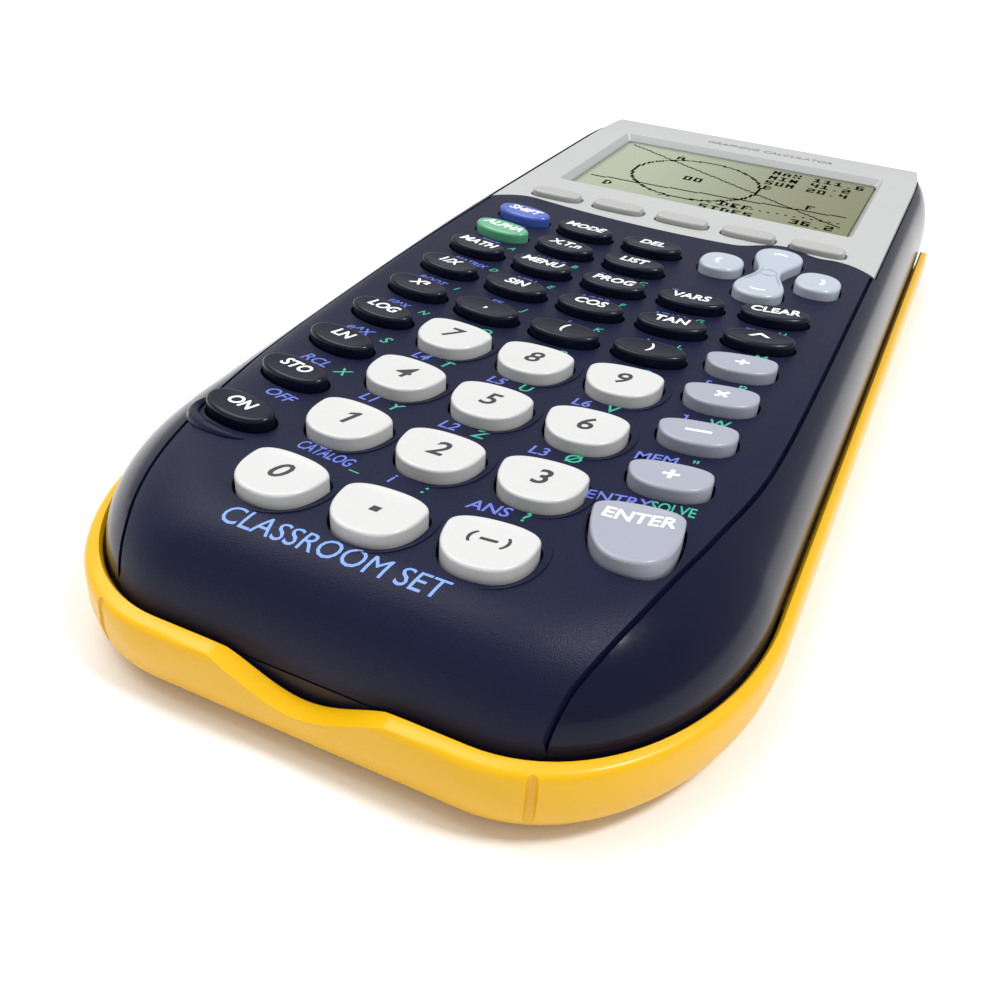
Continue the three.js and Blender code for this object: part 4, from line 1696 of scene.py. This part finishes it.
@dataclass
class SlideCover:
    """Yellow tray with a thumb scallop, notches and two inner rails."""

    wall: float = 1.7
    end_wall: float = 2.6
    floor: float = 1.8
    wall_end: float = 73.0
    scallop_half: float = 12.5
    scallop_depth: float = 3.6
    notch_x: float = 25.5
    rail_inner: float = 39.3
    rail_span: tuple[float, float] = (-56.0, 68.0)
    rail_height: tuple[float, float] = (6.0, 7.2)
    outer_insets: tuple[Point, ...] = (
        (0.0, 5.0), (0.35, 3.75), (0.8, 2.7), (1.3, 1.9), (2.0, 1.2), (2.9, 0.65),
        (3.8, 0.3), (6.0, 0.0), (9.1, 0.12), (9.5, 0.3), (9.8, 0.55), (10.0, 0.9),
    )

    def __post_init__(self) -> None:
        """Read the tray's box from its CAD node."""
        self.low, self.high = box_mm("slide_cover")
        self.plan = BodyPlan(self.high.x, self.low.y, KEYPAD_Y + 100)

    def tub(self) -> bpy.types.Object:
        """Solid form of the tray before it is cut."""
        return loft("slide_cover_tray", [
            (z, self.plan.outline(inset, inset)) for z, inset in self.outer_insets
        ])

    def hollow(self) -> bpy.types.Object:
        """Cutter for the inside."""
        insets = ((self.floor, 2.0), (self.floor + 0.4, 1.0), (self.floor + 1.0, 0.45),
                  (self.floor + 1.8, 0.12), (self.floor + 3, 0.0), (self.high.z - 0.5, 0.0),
                  (self.high.z, -0.35), (self.high.z + 1, -0.6))
        return loft("hollow", [
            (z, self.plan.outline(self.wall + inset, self.end_wall + inset)) for z, inset in insets
        ])

    def wall_end_cutter(self) -> bpy.types.Object:
        """Cutter that ends the side walls with a rounded corner."""
        end, rim = KEYPAD_Y + self.wall_end, self.high.z
        profile = [
            (end - 2.8, rim + 3), *arc((end - 2.8, rim - 2.8), (2.8, 2.8), 90, 0, 8),
            (end + 0.8, self.floor), (KEYPAD_Y + 120, self.floor), (KEYPAD_Y + 120, rim + 3),
        ]
        builder = MeshBuilder()
        builder.add_prism("X", profile, -60, 60)
        return builder.build("wall_ends")

    def scallop_cutter(self) -> bpy.types.Object:
        """Cutter for the thumb scallop in the rim of the closed end."""
        count, rim = 32, self.high.z
        dips = []
        for i in range(count + 1):
            x = -self.scallop_half + 2 * self.scallop_half * i / count
            dip = self.scallop_depth * math.cos(math.pi / 2 * x / self.scallop_half) ** 2
            dips.append((x, rim + 0.01 - dip))
        profile = [*dips, (self.scallop_half, rim + 2), (-self.scallop_half, rim + 2)]
        builder = MeshBuilder()
        builder.add_prism("Y", profile, self.low.y - 2, self.low.y + 10)
        return builder.build("scallop")

    def notches(self) -> bpy.types.Object:
        """Cutter for the two upright notches in the closed end."""
        cutter = MeshBuilder()
        for side in (-1, 1):
            x = side * self.notch_x
            y = min(self.plan.outline(), key=lambda p: abs(p[0] - x) + 0.01 * p[1])[1]
            outline = arc((x, y), (0.6, 0.6), 0, 345, 16)
            cutter.add_loft([(2.0, outline), (self.high.z + 1, outline)])
        return cutter.build("notches")

    def rails(self, palette: Palette) -> None:
        """Make the rails that hold the calculator.

        Args:
            palette: The materials.
        """
        for name, side in (("left", -1), ("right", 1)):
            inner, outer = self.rail_inner, self.high.x - 0.9 * self.wall
            low, high = self.rail_height
            middle = (low + high) / 2
            profile = [(outer, low), (inner + 0.3, low), (inner, middle), (inner + 0.3, high), (outer, high)]
            builder = MeshBuilder()
            start, end = (KEYPAD_Y + y for y in self.rail_span)
            builder.add_prism("Y", [(side * x, z) for x, z in profile], start, end)
            rail = builder.build(f"cover_rail_{name}")
            dress(rail, palette.yellow)
            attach(rail, COVER)

    def build(self, palette: Palette) -> None:
        """Make the tray and its rails.

        Args:
            palette: The materials.
        """
        tray = self.tub()
        end = MeshBuilder()
        end.add_block((-60, self.high.y, -1), (60, KEYPAD_Y + 130, self.high.z + 1))
        carve(tray, [
            self.hollow(), end.build("end"), self.wall_end_cutter(),
            self.scallop_cutter(), self.notches(),
        ])
        dress(tray, palette.yellow)
        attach(tray, COVER)
        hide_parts("slide_cover")
        self.rails(palette)
        LOG.info("slide cover: %d faces", len(tray.data.polygons))


@dataclass
class RearCase:
    """Rear shell and battery door, kept from the frame, with screws."""

    screw_places: tuple[Point, ...] = ((30.0, -70.0), (-30.0, -70.0), (31.0, 30.0), (-31.0, 30.0))
    screw_radius: float = 2.0

    def build(self, palette: Palette) -> None:
        """Dress the rear shell and add its screws.

        Args:
            palette: The materials.
        """
        for node in ("rear_case", "battery_door"):
            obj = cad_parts[node]
            dress_node(node, palette.rear)
            bevel = obj.modifiers.new("soft_edges", "BEVEL")
            bevel.width = 0.12 * MM
            bevel.segments = 2
            bevel.limit_method = "ANGLE"
            bevel.angle_limit = math.radians(50)
        low, _ = box_mm("rear_case")
        screws = MeshBuilder()
        for x, y in self.screw_places:
            ring = arc((x, KEYPAD_Y + y), (self.screw_radius, self.screw_radius), 0, 345, 23)
            small = arc((x, KEYPAD_Y + y), (self.screw_radius - 0.3,) * 2, 0, 345, 23)
            screws.add_loft([(low.z - 0.15, small), (low.z, ring), (low.z + 0.6, ring)])
        piece = screws.build("rear_screws")
        slots = MeshBuilder()
        for x, y in self.screw_places:
            y += KEYPAD_Y
            for reach_x, reach_y in ((1.2, 0.22), (0.22, 1.2)):
                slots.add_block(
                    (x - reach_x, y - reach_y, low.z - 1),
                    (x + reach_x, y + reach_y, low.z + 0.25),
                )
        cutters = self.split(slots)
        carve(piece, cutters)
        dress(piece, palette.screw)
        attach(piece, BODY)

    @staticmethod
    def split(slots: MeshBuilder) -> list[bpy.types.Object]:
        """Make crossing cutters as two objects, so that neither meets itself.

        Args:
            slots: Blocks of eight corners, the two of each cross in turn.

        Returns:
            The two cutters.
        """
        cutters = []
        corners, sides = 8, 6
        for turn in (0, 1):
            part = MeshBuilder()
            for i in range(turn, len(slots.vertices) // corners, 2):
                part.add(
                    slots.vertices[i * corners:(i + 1) * corners],
                    [[k - i * corners for k in face] for face in slots.faces[i * sides:(i + 1) * sides]],
                )
            cutters.append(part.build(f"slots_{turn}"))
        return cutters


# ---------------------------------------------------------------- display




@dataclass
class DisplayPicture:
    """Graph on the display: axes, a circle, crossing lines and short readings, in square dots."""

    columns: int = 96
    rows: int = 64
    margin: float = 1.6
    fill: float = 0.95
    lift: float = 0.015
    lens_rim: float = 1.3
    dots: set[tuple[int, int]] = field(default_factory=set)

    def line(self, start: Point, end: Point, gap: int = 1) -> None:
        """Add a straight row of dots.

        Args:
            start: First dot, as column and row.
            end: Last dot.
            gap: Keep one dot out of this many.
        """
        steps = int(max(abs(end[0] - start[0]), abs(end[1] - start[1])))
        for i in range(0, steps + 1, gap):
            share = i / steps
            self.dots.add((
                round(start[0] + (end[0] - start[0]) * share),
                round(start[1] + (end[1] - start[1]) * share),
            ))

    def ellipse(self, centre: Point, radii: Point) -> None:
        """Add an ellipse of dots.

        Args:
            centre: Its middle, as column and row.
            radii: Its radii in dots.
        """
        for x, y in arc(centre, radii, 0, 360, 260):
            self.dots.add((round(x), round(y)))

    def text(self, letters: str, column: int, row: int) -> None:
        """Add small letters of dots, each five rows high.

        Args:
            letters: What they say.
            column: Left column.
            row: Top row.
        """
        for letter in letters:
            for i, line in enumerate(DOT_LETTERS[letter]):
                for k in range(3):
                    if line & (4 >> k):
                        self.dots.add((column + k, row - i))
            column += 4

    def draw(self) -> None:
        """Draw the graph."""
        self.ellipse((36, 31), (24, 24))
        self.line((1, 61), (94, 9))
        self.line((1, 13), (94, 21))
        self.line((30, 6), (94, 13), 3)
        self.text("A", 22, 57)
        self.text("B", 61, 40)
        self.text("D", 8, 10)
        self.text("00", 32, 33)
        self.text("F", 80, 26)
        for i, (label, reading) in enumerate((("MAX", "111.6"), ("MIN", "41.2"), ("SUM", "20.4"))):
            self.text(label, 60, 61 - 7 * i)
            self.text(reading, 76, 61 - 7 * i)
        self.text("DEF", 52, 12)
        self.text("SIDES", 46, 5)
        self.text("36.2", 78, 8)

    def build(self, palette: Palette) -> None:
        """Make the dots on the window, joined into runs along each row.

        Args:
            palette: The materials.
        """
        low, high = box_mm("screen_lens")
        border = self.lens_rim + self.margin
        step_x = (high.x - low.x - 2 * border) / self.columns
        step_y = (high.y - low.y - 2 * border) / self.rows
        self.draw()
        builder = MeshBuilder()
        for row in range(self.rows):
            column = 0
            while column < self.columns:
                end = column
                while (end, row) in self.dots and end < self.columns:
                    end += 1
                if end > column:
                    x0 = low.x + border + column * step_x
                    y0 = low.y + border + row * step_y
                    builder.add_block(
                        (x0, y0, high.z - self.lift),
                        (x0 + (end - column - 1 + self.fill) * step_x, y0 + self.fill * step_y,
                         high.z + self.lift),
                    )
                column = end + 1
        piece = builder.build("display_dots")
        dress(piece, palette.dots)
        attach(piece, BODY)
        dress_node("screen_lens", palette.display)
        LOG.info("display: %d dots", len(self.dots))


DOT_LETTERS = {
    "0": (7, 5, 5, 5, 7), "1": (2, 6, 2, 2, 7), "2": (7, 1, 7, 4, 7), "3": (7, 1, 3, 1, 7),
    "4": (5, 5, 7, 1, 1), "5": (7, 4, 7, 1, 7), "6": (7, 4, 7, 5, 7), "A": (2, 5, 7, 5, 5),
    "B": (6, 5, 6, 5, 6), "D": (6, 5, 5, 5, 6), "E": (7, 4, 6, 4, 7), "F": (7, 4, 6, 4, 4),
    "I": (7, 2, 2, 2, 7), "M": (5, 7, 7, 5, 5), "N": (5, 7, 7, 7, 5), "S": (7, 4, 7, 1, 7),
    "U": (5, 5, 5, 5, 7), "X": (5, 5, 2, 5, 5), ".": (0, 0, 0, 0, 2),
}
"""Dot letters: five rows of three dots from the top, each row read as a binary number."""


@dataclass
class Inside:
    """Sealed pieces: board, membrane, cells, display panel and port block."""

    def build(self, palette: Palette) -> None:
        """Dress the sealed pieces.

        Args:
            palette: The materials.
        """
        for node, material in (
            ("lcd_module", palette.display), ("circuit_board", palette.board),
            ("keypad_membrane", palette.rubber), ("battery_cells", palette.steel),
            ("port_block", palette.steel),
        ):
            dress_node(node, material)
        LOG.info("sealed pieces dressed")


# ---------------------------------------------------------------- studio


@dataclass
class Studio:
    """Pale floor, soft lights and the camera."""

    eye: tuple[float, float, float] = (45.235, -152.534, 83.061)
    azimuth: float = 23.0504
    elevation: float = 34.6283
    roll: float = 4.2167
    lens: float = 36.701
    floor_half: float = 3.0
    sky_strength: float = 0.55
    key_power: float = 5.6
    glint_power: float = 4.0

    def floor(self) -> None:
        """Lay the floor just under the cover."""
        mesh = bpy.data.meshes.new("floor")
        r = self.floor_half
        mesh.from_pydata([(-r, -r, 0), (r, -r, 0), (r, r, 0), (-r, r, 0)], [], [(0, 1, 2, 3)])
        plane = bpy.data.objects.new("floor", mesh)
        bpy.context.scene.collection.objects.link(plane)
        paper = bpy.data.materials.new("floor_paper")
        paper.use_nodes = True
        shader = paper.node_tree.nodes["Principled BSDF"]
        shader.inputs["Base Color"].default_value = (0.93, 0.93, 0.93, 1)
        shader.inputs["Roughness"].default_value = 0.9
        shader.inputs["Specular IOR Level"].default_value = 0.1
        mesh.materials.append(paper)

    def light(
        self, name: str, place: Sequence[float], aim: Sequence[float], size: Point, power: float,
    ) -> None:
        """Add a soft light.

        Args:
            name: Its name.
            place: Where it hangs, in metres.
            aim: Where it points, in metres.
            size: Its width and height in metres.
            power: Its power in watts.
        """
        lamp = bpy.data.lights.new(name, "AREA")
        lamp.shape = "RECTANGLE"
        lamp.size, lamp.size_y = size
        lamp.energy = power
        obj = bpy.data.objects.new(name, lamp)
        obj.location = place
        obj.rotation_euler = (Vector(aim) - Vector(place)).to_track_quat("-Z", "Y").to_euler()
        bpy.context.scene.collection.objects.link(obj)

    def sky(self) -> None:
        """Fill the surroundings with even white light."""
        world = bpy.data.worlds.new("surroundings")
        world.use_nodes = True
        glow = world.node_tree.nodes["Background"]
        glow.inputs["Color"].default_value = (1.0, 1.0, 1.0, 1)
        glow.inputs["Strength"].default_value = self.sky_strength
        bpy.context.scene.world = world
        bpy.context.scene.view_settings.view_transform = "Standard"

    def camera(self) -> None:
        """Set up the camera."""
        azimuth, elevation, roll = (
            math.radians(a) for a in (self.azimuth, self.elevation, self.roll)
        )
        back = Vector((
            math.sin(azimuth) * math.cos(elevation),
            -math.cos(azimuth) * math.cos(elevation),
            math.sin(elevation),
        ))
        right = (-back).cross(Vector((0, 0, 1))).normalized()
        up = right.cross(-back)
        turned_right = math.cos(roll) * right + math.sin(roll) * up
        turned_up = -math.sin(roll) * right + math.cos(roll) * up
        data = bpy.data.cameras.new("camera")
        data.sensor_width = 36
        data.lens = self.lens
        data.clip_start = 0.01
        obj = bpy.data.objects.new("camera", data)
        axes = Matrix((turned_right, turned_up, back)).transposed().to_4x4()
        obj.matrix_world = Matrix.Translation(Vector(self.eye) * MM) @ axes
        bpy.context.scene.collection.objects.link(obj)
        bpy.context.scene.camera = obj

    def build(self) -> None:
        """Set the scene."""
        self.floor()
        self.sky()
        self.light("key_light", (-0.40, 0.05, 0.78), (0, 0, 0), (0.7, 0.7), self.key_power)
        self.light(
            "glint_light", (0.38, 0.01, 0.74), (0.02, -0.08, 0), (0.16, 0.16), self.glint_power,
        )
        self.camera()


# ---------------------------------------------------------------- the calculator


def main() -> None:
    """Build every piece in order and note the sizes."""
    logging.basicConfig(level=logging.INFO, format="%(name)s: %(message)s")
    palette = Palette(Effects())
    keypad, case, bezel = Keypad(), FrontCase(), ScreenBezel()
    case.build(palette, keypad, bezel)
    bezel.build(palette, keypad)
    keypad.build(palette, case)
    DisplayPicture().build(palette)
    SlideCover().build(palette)
    RearCase().build(palette)
    Inside().build(palette)
    Studio().build()


if __name__ == "__main__":
    main()
